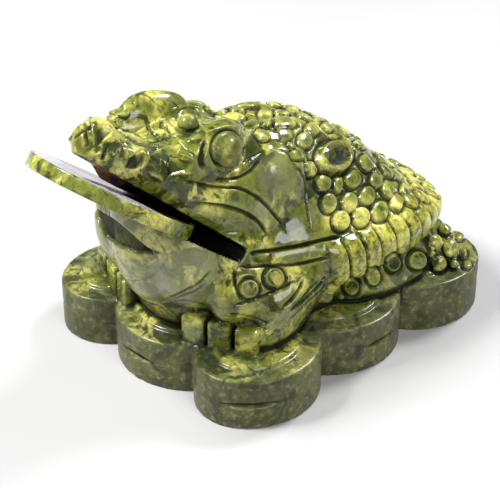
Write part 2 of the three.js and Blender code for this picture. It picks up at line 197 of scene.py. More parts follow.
@dataclass
class Torso(Loft):
    """The domed body: stations of y, half width, height of the widest line and of the apex."""

    ends: Ends = Ends(-110.0, 34.0, 120.0, 26.0)
    stations: tuple = (
        (-110, 42, 22, 52),
        (-90, 48, 34, 84),
        (-76, 55, 44, 104),
        (-52, 68, 48, 123),
        (-24, 80, 48, 131),
        (0, 83, 46, 127.5),
        (30, 83, 45, 113),
        (60, 79, 43, 89),
        (80, 72, 41, 67),
        (94, 65, 39, 51),
        (120, 50, 36, 40),
    )
    floor: float = -16.0
    dome_power: float = 1.2
    flank_power: float = 2.4
    spine_valley: float = 0.17
    spine_width: float = 13.0
    belt_start: float = -26.0
    belt_low: float = 27.0
    belt_high: float = 56.0
    belt_proud: float = 3.5
    belt_fade: float = 3.0

    def belt_rise(self, y: np.ndarray, z: np.ndarray) -> np.ndarray:
        """Finds the belt that runs round the flanks.

        Args:
            y: Places along the toad.
            z: Their heights over the plinth.

        Returns:
            How far inside the belt each place is, from 0 to 1.
        """
        fade = self.belt_fade
        in_length = smooth(self.belt_start - fade, self.belt_start + fade, y)
        above = smooth(self.belt_low - fade, self.belt_low + fade, z)
        below = 1.0 - smooth(self.belt_high - fade, self.belt_high + fade, z)
        return in_length * above * below

    def skin(self, y: np.ndarray, angle: np.ndarray) -> np.ndarray:
        """Works out places on the skin.

        Args:
            y: Places along the toad.
            angle: Angles round it, from the left flank over the back.

        Returns:
            One row of x, y and z in millimetres for each place.
        """
        half, middle, apex = (profile(y) for profile in self.profiles)
        share = self.ends.share(y)
        up = np.sin(angle) >= 0.0
        power = 2.0 / np.where(up, self.dome_power, self.flank_power)
        reach = np.where(up, apex - middle, middle - self.floor) * share
        x = half * share * signed_power(np.cos(angle), power)
        z = middle + reach * signed_power(np.sin(angle), power)
        valley = self.spine_valley * reach * np.exp(-((x / self.spine_width) ** 2))
        z = z - np.where(up, valley, 0.0)
        x = x + self.belt_proud * self.belt_rise(y, z) * share * np.cos(angle)
        return np.stack((x, y, z + PLINTH_HEIGHT), axis=-1)


@dataclass
class Skull(Loft):
    """The head above the mouth slot: stations of y, half width and heights of underside and top."""

    ends: Ends = Ends(-163.0, 10.0, -14.0, 26.0)
    stations: tuple = (
        (-163, 11, 139, 152),
        (-150, 16, 129, 157),
        (-138, 21, 117, 151),
        (-120, 30, 100, 137),
        (-100, 40, 82, 129),
        (-76, 50, 60, 129),
        (-50, 55, 48, 124),
        (-14, 46, 46, 104),
    )
    power: float = 2.6
    widest: float = 0.35
    below: float = 4.0

    def skin(self, y: np.ndarray, angle: np.ndarray) -> np.ndarray:
        """Works out places on the skin.

        Args:
            y: Places along the toad.
            angle: Angles round it, from the left cheek over the head.

        Returns:
            One row of x, y and z in millimetres for each place.
        """
        half, low, top = (profile(y) for profile in self.profiles)
        share = self.ends.share(y)
        middle = low + self.widest * (top - low)
        up = np.sin(angle) >= 0.0
        reach = np.where(up, top - middle, middle - low + self.below) * share
        x = half * share * signed_power(np.cos(angle), 2.0 / self.power)
        z = middle + reach * signed_power(np.sin(angle), 2.0 / self.power)
        return np.stack((x, y, z + PLINTH_HEIGHT), axis=-1)


@dataclass
class Mouth:
    """The mouth slot and the frame that it is cut in."""

    rear: Vector = field(default_factory=lambda: at(0.0, -85.2, 60.7))
    slope: float = 36.5
    widening: float = 5.2
    rear_height: float = 9.2
    great: float = 600.0

    def __post_init__(self) -> None:
        """Makes the matrix that takes the mouth's frame to the toad's."""
        turn = Matrix.Rotation(math.radians(-self.slope), 4, "X")
        self.place = Matrix.Translation(self.rear) @ turn

    def local(self, places: np.ndarray) -> tuple[np.ndarray, np.ndarray]:
        """Measures places in the mouth's frame.

        Args:
            places: One row of x, y and z for each place.

        Returns:
            How far each lies behind the slot's rear wall, and its height over the slot's floor.
        """
        back = np.array(self.place.inverted())
        local = places @ back[:3, :3].T + back[:3, 3]
        return local[:, 1], local[:, 2]

    def roof(self, behind: np.ndarray) -> np.ndarray:
        """Returns the slot's height at places measured back from its rear wall."""
        return self.rear_height - behind * math.tan(math.radians(self.widening))

    def wedge(self) -> bpy.types.Object:
        """Makes the slot as a solid to cut with, and returns it."""
        bm = bmesh.new()
        bmesh.ops.create_cube(bm, size=1.0)
        for vert in bm.verts:
            behind = 0.0 if vert.co.y > 0.0 else -self.great / 2
            height = 0.0 if vert.co.z < 0.0 else float(self.roof(np.array(behind)))
            vert.co = self.place @ Vector((vert.co.x * self.great, behind, height))
        return finished_bmesh(bm, "slot_cutter")

    def side(self, above: bool) -> bpy.types.Object:
        """Makes a great block of everything on one side of the slot.

        Args:
            above: Whether it lies over the slot's floor, and otherwise under its roof.

        Returns:
            The block, to cut with.
        """
        bm = bmesh.new()
        bmesh.ops.create_cube(bm, size=self.great)
        if above:
            turn = Matrix.Translation((0.0, 0.0, self.great / 2))
        else:
            lift = Matrix.Translation((0.0, 0.0, self.rear_height))
            lean = Matrix.Rotation(math.radians(-self.widening), 4, "X")
            turn = lift @ lean @ Matrix.Translation((0.0, 0.0, -self.great / 2))
        bmesh.ops.transform(bm, matrix=self.place @ turn, verts=bm.verts)
        return finished_bmesh(bm, "mouth_side")


# Mesh handling, in millimetres until a piece is finished


def finished_bmesh(bm: bmesh.types.BMesh, name: str) -> bpy.types.Object:
    """Turns a bmesh into an object of the scene and frees it.

    Args:
        bm: The bmesh.
        name: The object's name.

    Returns:
        The new object, linked to the scene.
    """
    mesh = bpy.data.meshes.new(name)
    bmesh.ops.recalc_face_normals(bm, faces=bm.faces)
    bm.to_mesh(mesh)
    bm.free()
    piece = bpy.data.objects.new(name, mesh)
    bpy.context.scene.collection.objects.link(piece)
    return piece


def applied(piece: bpy.types.Object) -> bpy.types.Object:
    """Bakes an object's modifiers into its mesh.

    Args:
        piece: The object.

    Returns:
        The same object with a new mesh.
    """
    graph = bpy.context.evaluated_depsgraph_get()
    mesh = bpy.data.meshes.new_from_object(piece.evaluated_get(graph))
    old = piece.data
    piece.modifiers.clear()
    piece.data = mesh
    bpy.data.meshes.remove(old)
    return piece


def discard(piece: bpy.types.Object) -> None:
    """Removes a helper object and its mesh."""
    mesh = piece.data
    bpy.data.objects.remove(piece)
    bpy.data.meshes.remove(mesh)


def remeshed(piece: bpy.types.Object, edge: float) -> bpy.types.Object:
    """Fuses the closed forms of an object into one skin of quads.

    Args:
        piece: The object.
        edge: Edge of the quads.

    Returns:
        The same object.
    """
    remesh = piece.modifiers.new("fuse", "REMESH")
    remesh.mode = "VOXEL"
    remesh.voxel_size = edge
    remesh.adaptivity = 0.0
    return applied(piece)


def cut(piece: bpy.types.Object, cutter: bpy.types.Object) -> bpy.types.Object:
    """Cuts one solid out of another.

    Args:
        piece: The solid that is cut.
        cutter: The solid that is taken away and then discarded.

    Returns:
        What is left of the first one.
    """
    boolean = piece.modifiers.new("cut", "BOOLEAN")
    boolean.operation = "DIFFERENCE"
    boolean.solver = "MANIFOLD"
    boolean.object = cutter
    applied(piece)
    discard(cutter)
    return piece


def joined(pieces: list[bpy.types.Object], name: str) -> bpy.types.Object:
    """Puts the meshes of several objects into one object.

    Args:
        pieces: The objects, which are discarded.
        name: The new object's name.

    Returns:
        The new object.
    """
    bm = bmesh.new()
    for piece in pieces:
        bm.from_mesh(piece.data)
        discard(piece)
    return finished_bmesh(bm, name)


def places_of(mesh: bpy.types.Mesh) -> np.ndarray:
    """Reads where a mesh's vertices are.

    Args:
        mesh: The mesh.

    Returns:
        One row of x, y and z for each vertex.
    """
    places = np.empty(len(mesh.vertices) * 3)
    mesh.vertices.foreach_get("co", places)
    return places.reshape(-1, 3)


def set_places(mesh: bpy.types.Mesh, places: np.ndarray) -> None:
    """Moves the vertices of a mesh to new places."""
    mesh.vertices.foreach_set("co", places.ravel())
    mesh.update()


def normals_of(mesh: bpy.types.Mesh) -> np.ndarray:
    """Reads which way a mesh's vertices face.

    Args:
        mesh: The mesh.

    Returns:
        One unit row of x, y and z for each vertex.
    """
    normals = np.empty(len(mesh.vertices) * 3)
    mesh.vertex_normals.foreach_get("vector", normals)
    return normals.reshape(-1, 3)


class Relaxer:
    """Averages values over the neighbours of each vertex of a mesh."""

    def __init__(self, mesh: bpy.types.Mesh) -> None:
        """Args:
            mesh: The mesh whose edges join the neighbours.
        """
        edges = np.empty(len(mesh.edges) * 2, dtype=np.int64)
        mesh.edges.foreach_get("vertices", edges)
        self.first, self.second = edges.reshape(-1, 2).T
        self.count = len(mesh.vertices)
        self.links = np.maximum(np.bincount(edges, minlength=self.count), 1)

    def average(self, values: np.ndarray) -> np.ndarray:
        """Averages a value over the neighbours of each vertex.

        Args:
            values: One value for each vertex.

        Returns:
            The mean of its neighbours for each vertex.
        """
        total = np.bincount(self.first, values[self.second], self.count)
        total += np.bincount(self.second, values[self.first], self.count)
        return total / self.links

    def relax(self, places: np.ndarray, rounds: int, weight: np.ndarray | float = 0.5) -> np.ndarray:
        """Returns places or values smoothed by moving each towards its neighbours.

        Args:
            places: One row or one value for each vertex.
            rounds: How many times it is repeated.
            weight: How far each vertex goes, from 0 to 1.

        Returns:
            The smoothed rows or values.
        """
        columns = places.reshape(self.count, -1).T.copy()
        for _ in range(rounds):
            for k, column in enumerate(columns):
                columns[k] = column + weight * (self.average(column) - column)
        return columns.T.reshape(places.shape)


def relaxed(
    piece: bpy.types.Object, rounds: int, weight: np.ndarray | float = 0.5
) -> bpy.types.Object:
    """Smooths an object's mesh.

    Args:
        piece: The object.
        rounds: How many times it is repeated.
        weight: How far each vertex goes, from 0 to 1.

    Returns:
        The same object.
    """
    mesh = piece.data
    set_places(mesh, Relaxer(mesh).relax(places_of(mesh), rounds, weight))
    return piece


@dataclass(frozen=True)
class Ball:
    """A ball stretched along its axes and then turned in degrees, as it is on the left side."""

    place: tuple
    radii: tuple
    turn: tuple = (0, 0, 0)
    mirrored: bool = True


def rounded(bm: bmesh.types.BMesh, edges: list, offset: float, segments: int) -> None:
    """Rounds some edges of a bmesh."""
    bmesh.ops.bevel(
        bm, geom=edges, offset=offset, segments=segments, profile=0.5, affect="EDGES", material=-1
    )


class Clay:
    """A heap of overlapping closed forms that is fused into one skin."""

    def __init__(self, name: str) -> None:
        """Args:
            name: Name of the object that the heap becomes.
        """
        self.name = name
        self.bm = bmesh.new()

    def ball(
        self, place: Vector, radii: tuple, turn: tuple = (0, 0, 0), segments: int = 40
    ) -> None:
        """Adds a ball stretched along its axes and then turned.

        Args:
            place: Its middle.
            radii: Its three radii.
            turn: Angles about X, Y and Z in degrees.
            segments: Faces round it.
        """
        angles = Euler([math.radians(each) for each in turn])
        turned = Matrix.Translation(place) @ angles.to_matrix().to_4x4()
        matrix = turned @ Matrix.Diagonal((*radii, 1.0))
        bmesh.ops.create_uvsphere(
            self.bm, u_segments=segments, v_segments=segments // 2, radius=1.0, matrix=matrix
        )

    def balls(self, balls: dict[str, Ball], segments: int = 40) -> None:
        """Adds balls on the sides of the toad that they are on.

        Args:
            balls: The balls by name.
            segments: Faces round each.
        """
        for side in Side:
            for ball in balls.values():
                if ball.mirrored or side is Side.LEFT:
                    place = at(*side.mirror(ball.place))
                    lean, roll, turn = ball.turn
                    turned = (lean, side.value * roll, side.value * turn)
                    self.ball(place, ball.radii, turned, segments)

    def loft(self, form: Torso | Skull, around: int = 160, lengthwise: int = 120) -> None:
        """Adds a closed lofted skin.

        Args:
            form: The loft.
            around: Faces round it.
            lengthwise: Faces along it.
        """
        pole_turn = Matrix.Rotation(math.radians(-90.0), 4, "X")
        made = bmesh.ops.create_uvsphere(
            self.bm, u_segments=around, v_segments=lengthwise, radius=1.0, matrix=pole_turn
        )
        verts = made["verts"]
        unit = np.array([vert.co for vert in verts])
        front, rear = form.ends.front, form.ends.rear
        y = (front + rear) / 2 + (rear - front) / 2 * unit[:, 1]
        for vert, place in zip(verts, form.skin(y, np.arctan2(unit[:, 2], unit[:, 0]))):
            vert.co = place

    def block(self, place: Vector, size: tuple, edge: float, degrees: float) -> None:
        """Adds an upright block with rounded edges, turned about Z.

        Args:
            place: Its middle.
            size: Its width, depth and height.
            edge: How far in its edges are rounded.
            degrees: How far it is turned.
        """
        turned = Matrix.Translation(place) @ Matrix.Rotation(math.radians(degrees), 4, "Z")
        matrix = turned @ Matrix.Diagonal((*size, 1.0))
        made = bmesh.ops.create_cube(self.bm, size=1.0, matrix=matrix)
        sharp = {each for vert in made["verts"] for each in vert.link_edges}
        rounded(self.bm, list(sharp), edge, segments=4)

    def lobe(self, place: Vector, radii: tuple, height: float, edge: float) -> None:
        """Adds a round block with a rounded upper edge.

        Args:
            place: The middle of its foot.
            radii: Its radii in x and y.
            height: Its height.
            edge: How far in its upper edge is rounded.
        """
        matrix = Matrix.Translation(place + Vector((0.0, 0.0, height / 2)))
        made = bmesh.ops.create_cone(
            self.bm, cap_ends=True, segments=128, radius1=1.0, radius2=1.0, depth=height,
            matrix=matrix @ Matrix.Diagonal((*radii, 1.0, 1.0)),
        )
        middle = place.z + height / 2
        rim = {
            each for vert in made["verts"] for each in vert.link_edges
            if all(end.co.z > middle for end in each.verts)
        }
        rounded(self.bm, list(rim), edge, segments=5)

    def heap(self) -> bpy.types.Object:
        """Returns the forms as one object, still overlapping."""
        return finished_bmesh(self.bm, self.name)


# The photograph's camera, which also places carving by pixel


@dataclass(frozen=True)
class PhotoCamera:
    """The camera of the photograph, in its 500 by 500 frame."""

    azimuth: float = 45.66
    elevation: float = 30.88
    focal: float = 1600.0
    frame_width: float = 500.0
    sensor: float = 36.0
    place: tuple = (660.8, -667.4, 605.9)

    def axes(self) -> tuple[Vector, Vector, Vector]:
        """Works out how the camera is turned.

        Returns:
            The directions to its right, up and forward.
        """
        turn, rise = math.radians(self.azimuth), math.radians(self.elevation)
        level = math.cos(rise)
        right = Vector((math.cos(turn), math.sin(turn), 0.0))
        forward = Vector((-math.sin(turn) * level, math.cos(turn) * level, -math.sin(rise)))
        return right, right.cross(forward), forward

    def ray(self, pixel: tuple[float, float]) -> Vector:
        """Aims at a pixel.

        Args:
            pixel: The pixel.

        Returns:
            The direction of the ray through it.
        """
        right, up, forward = self.axes()
        half = self.frame_width / 2
        direction = forward * self.focal + right * (pixel[0] - half) - up * (pixel[1] - half)
        return direction.normalized()

    def pixels(self, places: np.ndarray) -> np.ndarray:
        """Projects places into the photograph.

        Args:
            places: One row of x, y and z in millimetres for each place.

        Returns:
            One row of two pixel coordinates for each place.
        """
        right, up, forward = (np.array(axis) for axis in self.axes())
        offset = places - np.array(self.place)
        depth = offset @ forward
        across = self.focal * (offset @ right) / depth
        rise = self.focal * (offset @ up) / depth
        return self.frame_width / 2 + np.stack((across, -rise), axis=1)

    def build(self) -> bpy.types.Object:
        """Makes the scene's camera.

        Returns:
            The camera, set as the scene's own.
        """
        right, up, forward = self.axes()
        data = bpy.data.cameras.new("photo_camera")
        data.sensor_width = self.sensor
        data.lens = self.focal / self.frame_width * self.sensor
        data.clip_end = 50.0
        camera = bpy.data.objects.new("photo_camera", data)
        turn = Matrix((right, up, -forward)).transposed().to_4x4()
        camera.matrix_world = Matrix.Translation(Vector(self.place) * MM) @ turn
        bpy.context.scene.collection.objects.link(camera)
        bpy.context.scene.camera = camera
        return camera


CAMERA = PhotoCamera()

# Millimetres that a pixel of the photograph covers on the toad
PIXEL = 0.69


class Surface:
    """A skin that pixels of the photograph are thrown onto.

    evenings is how many times a line on the skin is evened out.
    """

    evenings = 4

    def __init__(self, piece: bpy.types.Object) -> None:
        """Args:
            piece: The object whose skin it is.
        """
        bm = bmesh.new()
        bm.from_mesh(piece.data)
        self.tree = BVHTree.FromBMesh(bm)
        bm.free()

    def hit(self, pixel: tuple[float, float]) -> tuple[Vector, Vector] | None:
        """Throws a pixel onto the skin.

        Args:
            pixel: The pixel.

        Returns:
            The place and normal under it, or None where it misses.
        """
        place, normal, _, _ = self.tree.ray_cast(Vector(CAMERA.place), CAMERA.ray(pixel))
        return None if place is None else (place, normal)

    def path(self, pixels: tuple, spacing: float = 0.8) -> np.ndarray:
        """Throws a curve through pixels onto the skin.

        Args:
            pixels: The curve's pixels.
            spacing: Distance between the places that come back, in pixels.

        Returns:
            One row of x, y and z for each place.
        """
        places = [self.hit(pixel) for pixel in curve_through(pixels, spacing)]
        found = np.array([tuple(each[0]) for each in places if each is not None])
        for _ in range(self.evenings):
            found[1:-1] = (found[:-2] + 2.0 * found[1:-1] + found[2:]) / 4.0
        return found

    def snapped(self, place: np.ndarray) -> np.ndarray:
        """Returns the nearest place on the skin."""
        return np.array(tuple(self.tree.find_nearest(Vector(place))[0]))

    def distances(self, places: np.ndarray) -> np.ndarray:
        """Returns how far each place is from the skin."""
        return np.array([self.tree.find_nearest(Vector(each))[3] for each in places])


def curve_through(points: tuple, spacing: float) -> np.ndarray:
    """Works out close points on a smooth curve through a few points.

    Args:
        points: The points, of any dimension.
        spacing: Distance between the points that come back.

    Returns:
        One row for each point.
    """
    knots = np.array(points, dtype=float)
    knots = np.vstack((2 * knots[0] - knots[1], knots, 2 * knots[-1] - knots[-2]))
    line = []
    for before, start, end, after in zip(knots, knots[1:], knots[2:], knots[3:]):
        steps = max(2, int(np.linalg.norm(end - start) / spacing))
        for t in np.arange(steps)[:, None] / steps:
            bend = (2 * before - 5 * start + 4 * end - after) * t * t
            twist = (3 * start - before - 3 * end + after) * t**3
            line.append(((2 * start + (end - before) * t + bend + twist) / 2)[None, :])
    line.append(knots[-2][None, :])
    return np.vstack(line)


# Carving, drawn in the photograph's frame


class Depth(Enum):
    """How deep a stroke is cut, in millimetres; a ridge stands out instead."""

    RIDGE = -1.1
    HAIR = 0.6
    LINE = 1.3
    CREASE = 2.4
    GASH = 3.4


@dataclass(frozen=True)
class Stroke:
    """A groove or ridge through pixels of the photograph, repeated on the other side."""

    pixels: tuple
    width: float
    depth: Depth
    taper: float = 0.18


@dataclass(frozen=True)
class Pebble:
    """A round boss or disc in the photograph's frame: its middle and its half sizes in pixels."""

    pixel: tuple
    half: tuple
    mirrored: bool = True


@dataclass(frozen=True)
class Facet:
    """A chiselled plane inside a polygon of the photograph, leaning right and up by its tilt.

    Where flat is 0 the skin inside the polygon is sunk but keeps its own roundness.
    """

    corners: tuple
    tilt: tuple
    sink: float = 0.0
    # shade: how dark the skin inside is painted, as painted shade in the cut
    shade: float = 0.0
    mirrored: bool = True
    flat: float = 1.0


def pebbles(*rows: tuple, mirrored: bool = True) -> tuple[Pebble, ...]:
    """Returns pebbles from rows of x, y, half width and half height in pixels."""
    return tuple(Pebble((x, y), (wide, high), mirrored) for x, y, wide, high in rows)


def inside_polygon(points: np.ndarray, corners: np.ndarray) -> np.ndarray:
    """Measures how far inside a polygon points lie.

    Args:
        points: One row of two coordinates for each point.
        corners: One row for each corner of the polygon.

    Returns:
        The distance from the nearest edge for each point, below 0 outside the polygon.
    """
    inside = np.zeros(len(points), dtype=bool)
    nearest = np.full(len(points), np.inf)
    for start, end in zip(corners, np.roll(corners, -1, axis=0)):
        edge = end - start
        along = np.clip((points - start) @ edge / (edge @ edge), 0.0, 1.0)
        apart = np.linalg.norm(points - start - along[:, None] * edge, axis=1)
        nearest = np.minimum(nearest, apart)
        crosses = (start[1] > points[:, 1]) != (end[1] > points[:, 1])
        rise = edge[1] if edge[1] != 0.0 else 1.0
        inside ^= crosses & (points[:, 0] < start[0] + edge[0] * (points[:, 1] - start[1]) / rise)
    return np.where(inside, nearest, -nearest)


def oval(pixel: tuple, half: tuple, count: int = 16) -> tuple:
    """Returns the pixels of a closed oval line."""
    turns = (2.0 * math.pi * k / count for k in range(count + 1))
    return tuple(
        (pixel[0] + half[0] * math.cos(turn), pixel[1] + half[1] * math.sin(turn)) for turn in turns
    )


def nearest_on(path: np.ndarray, places: np.ndarray) -> tuple[np.ndarray, np.ndarray]:
    """Finds the nearest point of a path for each of many places, a few thousand at a time.

    Args:
        path: One row for each point of the path.
        places: One row for each place.

    Returns:
        The number of the nearest point, and how far away it is, for each place.
    """
    nearest = np.empty(len(places), dtype=np.int64)
    gap = np.empty(len(places))
    for start in range(0, len(places), CHUNK):
        part = slice(start, start + CHUNK)
        gaps = np.linalg.norm(places[part][:, None, :] - path[None, :, :], axis=2)
        nearest[part] = gaps.argmin(axis=1)
        gap[part] = gaps[np.arange(len(gaps)), nearest[part]]
    return nearest, gap


class Carver:
    """Carves a finely meshed skin by moving its vertices along their normals.

    longest is how far a pebble may stretch where the skin turns away from the camera, crowding how
    close two pebbles may lie, and steepest how far a facet may move the skin. groove_edge says
    where a groove's wall begins and ends in half widths, narrowest is the least share of its width
    that it keeps towards its ends, and from dark_depth on it is fully dark. facet_edge is how many
    pixels inside its outline a facet is in full. pebble_wall, moat_inner and moat_outer say where
    walls begin and end, as shares of a pebble, and disc_moat and disc_edge are the middle and the
    width of the moat and the edge of a flat disc.
    """

    longest = 1.45
    crowding = 0.82
    steepest = 4.0
    groove_edge = (0.15, 1.1)
    narrowest = 0.3
    # a groove's painted shade grows with its depth and is full from dark_depth on
    dark_depth = 1.5
    facet_edge = 1.6
    pebble_wall = (0.86, 1.0)
    moat_inner = (0.88, 1.02)
    moat_outer = (1.1, 1.34)
    disc_moat = (1.2, 0.19)
    disc_edge = (0.88, 0.12)

    def __init__(self, piece: bpy.types.Object) -> None:
        """Args:
            piece: The object to carve, in millimetres.
        """
        self.mesh = piece.data
        self.surface = Surface(piece)
        self.places = places_of(self.mesh)
        self.normals = normals_of(self.mesh)
        self.seen = {side: CAMERA.pixels(side.mirror(self.places)) for side in Side}
        # groove holds how dark each vertex is painted: shade in grooves, moats and hollows, and darker
        # ovals
        self.lift, self.groove, self.disc = np.zeros((3, len(self.places)))
        self.nearest = np.full(len(self.places), np.inf)
        self.pebbles: list[tuple[np.ndarray, float]] = []

    def near(self, low: np.ndarray, high: np.ndarray, margin: float) -> np.ndarray:
        """Returns the indices of the vertices inside a box with a margin."""
        inside = np.all((self.places > low - margin) & (self.places < high + margin), axis=1)
        return np.nonzero(inside)[0]

    def shade(self, index: np.ndarray, amount: np.ndarray) -> None:
        """Marks vertices for painted shade and darker ovals, from 0 to 1, where they aren't so already.
        """
        self.groove[index] = np.maximum(self.groove[index], amount)

    def out(self, side: Side, index: np.ndarray, pebble: Pebble) -> np.ndarray:
        """Returns how far from an oval's middle vertices are seen, 1 on its edge."""
        offset = (self.seen[side][index] - pebble.pixel) / np.array(pebble.half)
        return np.linalg.norm(offset, axis=1)

    def spots(self, pebble: Pebble, reach: float) -> Iterator[tuple[Side, np.ndarray, np.ndarray]]:
        """Finds an oval of the photograph on the skin.

        Args:
            pebble: The oval.
            reach: How far from its middle vertices are taken.

        Yields:
            Each side that it is on, its middle there and the indices of the vertices near it.
        """
        found = self.surface.hit(pebble.pixel)
        if found is None:
            return
        for side in Side if pebble.mirrored else (Side.LEFT,):
            centre = side.mirror(found[0])
            yield side, centre, self.near(centre, centre, reach)

    def line(self, path: np.ndarray, width: float, depth: float, taper: float) -> None:
        """Cuts a groove that follows a path and runs out at both ends, and paints shade into it.

        Args:
            path: Close places on the skin.
            width: The groove's full width.
            depth: Its greatest depth, below 0 for a ridge.
            taper: Share of its length over which each end runs out, 0 for a closed line.
        """
        index = self.near(path.min(axis=0), path.max(axis=0), width)
        if len(index) == 0:
            return
        nearest, gap = nearest_on(path, self.places[index])
        fade = np.ones(len(index))
        if taper > 0.0:
            t = nearest / (len(path) - 1)
            fade = smooth(0.0, taper, t) * smooth(0.0, taper, 1.0 - t)
        across = gap / (width / 2 * np.maximum(fade, self.narrowest))
        shape = (1.0 - smooth(*self.groove_edge, across)) * fade
        cut_to = self.lift[index] * (1.0 - shape) - depth * shape
        if depth < 0.0:
            self.lift[index] = np.maximum(self.lift[index], cut_to)
            return
        self.lift[index] = np.minimum(self.lift[index], cut_to)
        # painted shade in the groove, darker the deeper it is cut
        self.shade(index, shape * min(1.0, depth / self.dark_depth))

    def stroke(self, stroke: Stroke) -> None:
        """Cuts a stroke of the photograph on both sides of the toad."""
        path = self.surface.path(stroke.pixels)
        for side in Side:
            self.line(side.mirror(path), stroke.width, stroke.depth.value, stroke.taper)

    def fits(self, centre: np.ndarray, radius: float) -> bool:
        """Keeps a pebble if it has room between the ones that are there.

        Args:
            centre: Its middle.
            radius: Its radius.

        Returns:
            Whether it has room.
        """
        for other, reach in self.pebbles:
            if np.linalg.norm(centre - other) < self.crowding * (radius + reach):
                return False
        self.pebbles.append((centre, radius))
        return True

    def seen_pebble(self, pebble: Pebble) -> None:
        """Adds a pebble of the photograph to the pebble field where it fits.

        Args:
            pebble: The pebble.
        """
        radius = PIXEL * math.sqrt(pebble.half[0] * pebble.half[1])
        for side, centre, index in self.spots(pebble, radius * 2.6):
            if not self.fits(centre, radius):
                continue
            apart = np.linalg.norm(self.places[index] - centre, axis=1) / (self.longest * radius)
            away = np.maximum(self.out(side, index, pebble), apart)
            self.nearest[index] = np.minimum(self.nearest[index], away)

    def laid_pebble(self, centre: np.ndarray, radius: float) -> None:
        """Adds a pebble to the field at a place on the skin, where it fits.

        Args:
            centre: The place.
            radius: The pebble's radius.
        """
        if not self.fits(centre, radius):
            return
        index = self.near(centre, centre, radius * 1.6)
        offset = self.places[index] - centre
        gap = np.linalg.norm(offset, axis=1)
        axis = self.normals[index][gap < max(radius * 0.8, gap.min() + 2.0)].mean(axis=0)
        axis /= np.linalg.norm(axis)
        height = offset @ axis
        out = np.sqrt(np.maximum(gap**2 - height**2, 0.0)) / radius
        keep = (self.normals[index] @ axis > 0.1) & (np.abs(height) < radius * 1.2)
        nearer = np.minimum(self.nearest[index], out)
        self.nearest[index] = np.where(keep, nearer, self.nearest[index])

    def raise_pebbles(self, height: float, moat: float) -> None:
        """Raises the pebble field and paints shade into the moats between the pebbles.

        Args:
            height: How high the pebbles stand.
            moat: How deep the moat between them is.
        """
        q = np.minimum(self.nearest, 2.0)
        face = 1.0 - smooth(*self.pebble_wall, q)
        dome = height * (1.0 - 0.45 * np.minimum(q, 1.0) ** 2.5)
        ditch = smooth(*self.moat_inner, q) * (1.0 - smooth(*self.moat_outer, q))
        self.lift += face * dome - moat * ditch
        self.disc = np.maximum(self.disc, face)
        # painted shade in the moats between the pebbles
        self.groove = np.maximum(self.groove, 0.8 * ditch)

    def ringed(self, pebble: Pebble, height: float = 1.0, moat: float = 2.2) -> None:
        """Cuts a moat round a flat disc of the photograph that has a thin raised edge, with painted
        shade in the moat.

        Args:
            pebble: The disc.
            height: How high its edge stands.
            moat: How deep the moat is.
        """
        for side, _, index in self.spots(pebble, PIXEL * max(pebble.half) * 2.4):
            out = self.out(side, index, pebble)
            ditch, edge = (
                np.exp(-(((out - middle) / width) ** 2))
                for middle, width in (self.disc_moat, self.disc_edge)
            )
            face = 1.0 - smooth(0.95, 1.05, out)
            self.lift[index] += height * (0.3 * face + 0.7 * edge) - moat * ditch
            # painted shade in the moat
            self.shade(index, ditch)
            self.disc[index] = np.maximum(self.disc[index], face)

    def tint(self, pebble: Pebble, amount: float, height: float = 0.0) -> None:
        """Darkens an oval of the photograph and raises it to a dome.

        Args:
            pebble: The oval.
            amount: How dark it becomes, from 0 to 1.
            height: How high its middle rises.
        """
        for side, _, index in self.spots(pebble, PIXEL * max(pebble.half) * 2.0):
            out = self.out(side, index, pebble)
            self.shade(index, amount * (1.0 - smooth(0.9, 1.05, out)))
            self.lift[index] += height * np.maximum(1.0 - out**2, 0.0)

    def facet(self, facet: Facet) -> None:
        """Flattens the skin inside a polygon of the photograph to a tilted plane.

        Args:
            facet: The polygon and how its plane lies.
        """
        corners = np.array(facet.corners, dtype=float)
        found = self.surface.hit(tuple(corners.mean(axis=0)))
        if found is None:
            return
        right, up, _ = (np.array(axis) for axis in CAMERA.axes())
        lean = right * facet.tilt[0] + up * facet.tilt[1]
        reach = PIXEL * np.linalg.norm(corners - corners.mean(axis=0), axis=1).max() * 1.5
        for side in Side if facet.mirrored else (Side.LEFT,):
            centre = side.mirror(found[0])
            index = self.near(centre, centre, reach)
            index = index[self.normals[index] @ side.mirror(found[1]) > 0.3]
            if facet.mirrored:
                index = index[self.places[index][:, 0] * side.value >= 0.0]
            inward = inside_polygon(self.seen[side][index], corners)
            index, inward = index[inward > 0.0], inward[inward > 0.0]
            middle = self.places[index].mean(axis=0)
            axis = self.normals[index].mean(axis=0)
            axis = axis / np.linalg.norm(axis) + side.mirror(lean)
            axis /= np.linalg.norm(axis)
            facing = np.maximum(self.normals[index] @ axis, 0.4)
            level = -facet.flat * ((self.places[index] - middle) @ axis) / facing - facet.sink
            edge = smooth(0.0, self.facet_edge, inward)
            self.lift[index] += np.clip(level, -self.steepest, self.steepest) * edge
            # painted shade inside the facet
            self.shade(index, facet.shade * edge)

    def finish(self) -> None:
        """Moves the vertices and keeps the painted shade and darker ovals as the groove attribute."""
        set_places(self.mesh, self.places + self.normals * self.lift[:, None])
        store(self.mesh, "groove", self.groove)


def store(mesh: bpy.types.Mesh, name: str, values: np.ndarray) -> None:
    """Keeps one number for each vertex as a named attribute."""
    attribute = mesh.attributes.new(name, "FLOAT", "POINT")
    attribute.data.foreach_set("value", np.asarray(values, dtype=np.float32))


def cavity_of(mesh: bpy.types.Mesh, rounds: int) -> np.ndarray:
    """Compares a mesh with a smoothed copy of itself.

    Args:
        mesh: The mesh.
        rounds: How often the copy is smoothed, more for wider hollows.

    Returns:
        How hollow the mesh is at each vertex, above 0 in hollows and below 0 on edges.
    """
    relaxer = Relaxer(mesh)
    places = places_of(mesh)
    smoothed = relaxer.relax(places, rounds)
    hollow = np.einsum("ij,ij->i", smoothed - places, normals_of(mesh))
    return relaxer.relax(hollow, 2)


# The toad and its plinth, carved in one. Lobes and core as shares of the plinth's half width and
# half length: x, y, radius in x, radius in y

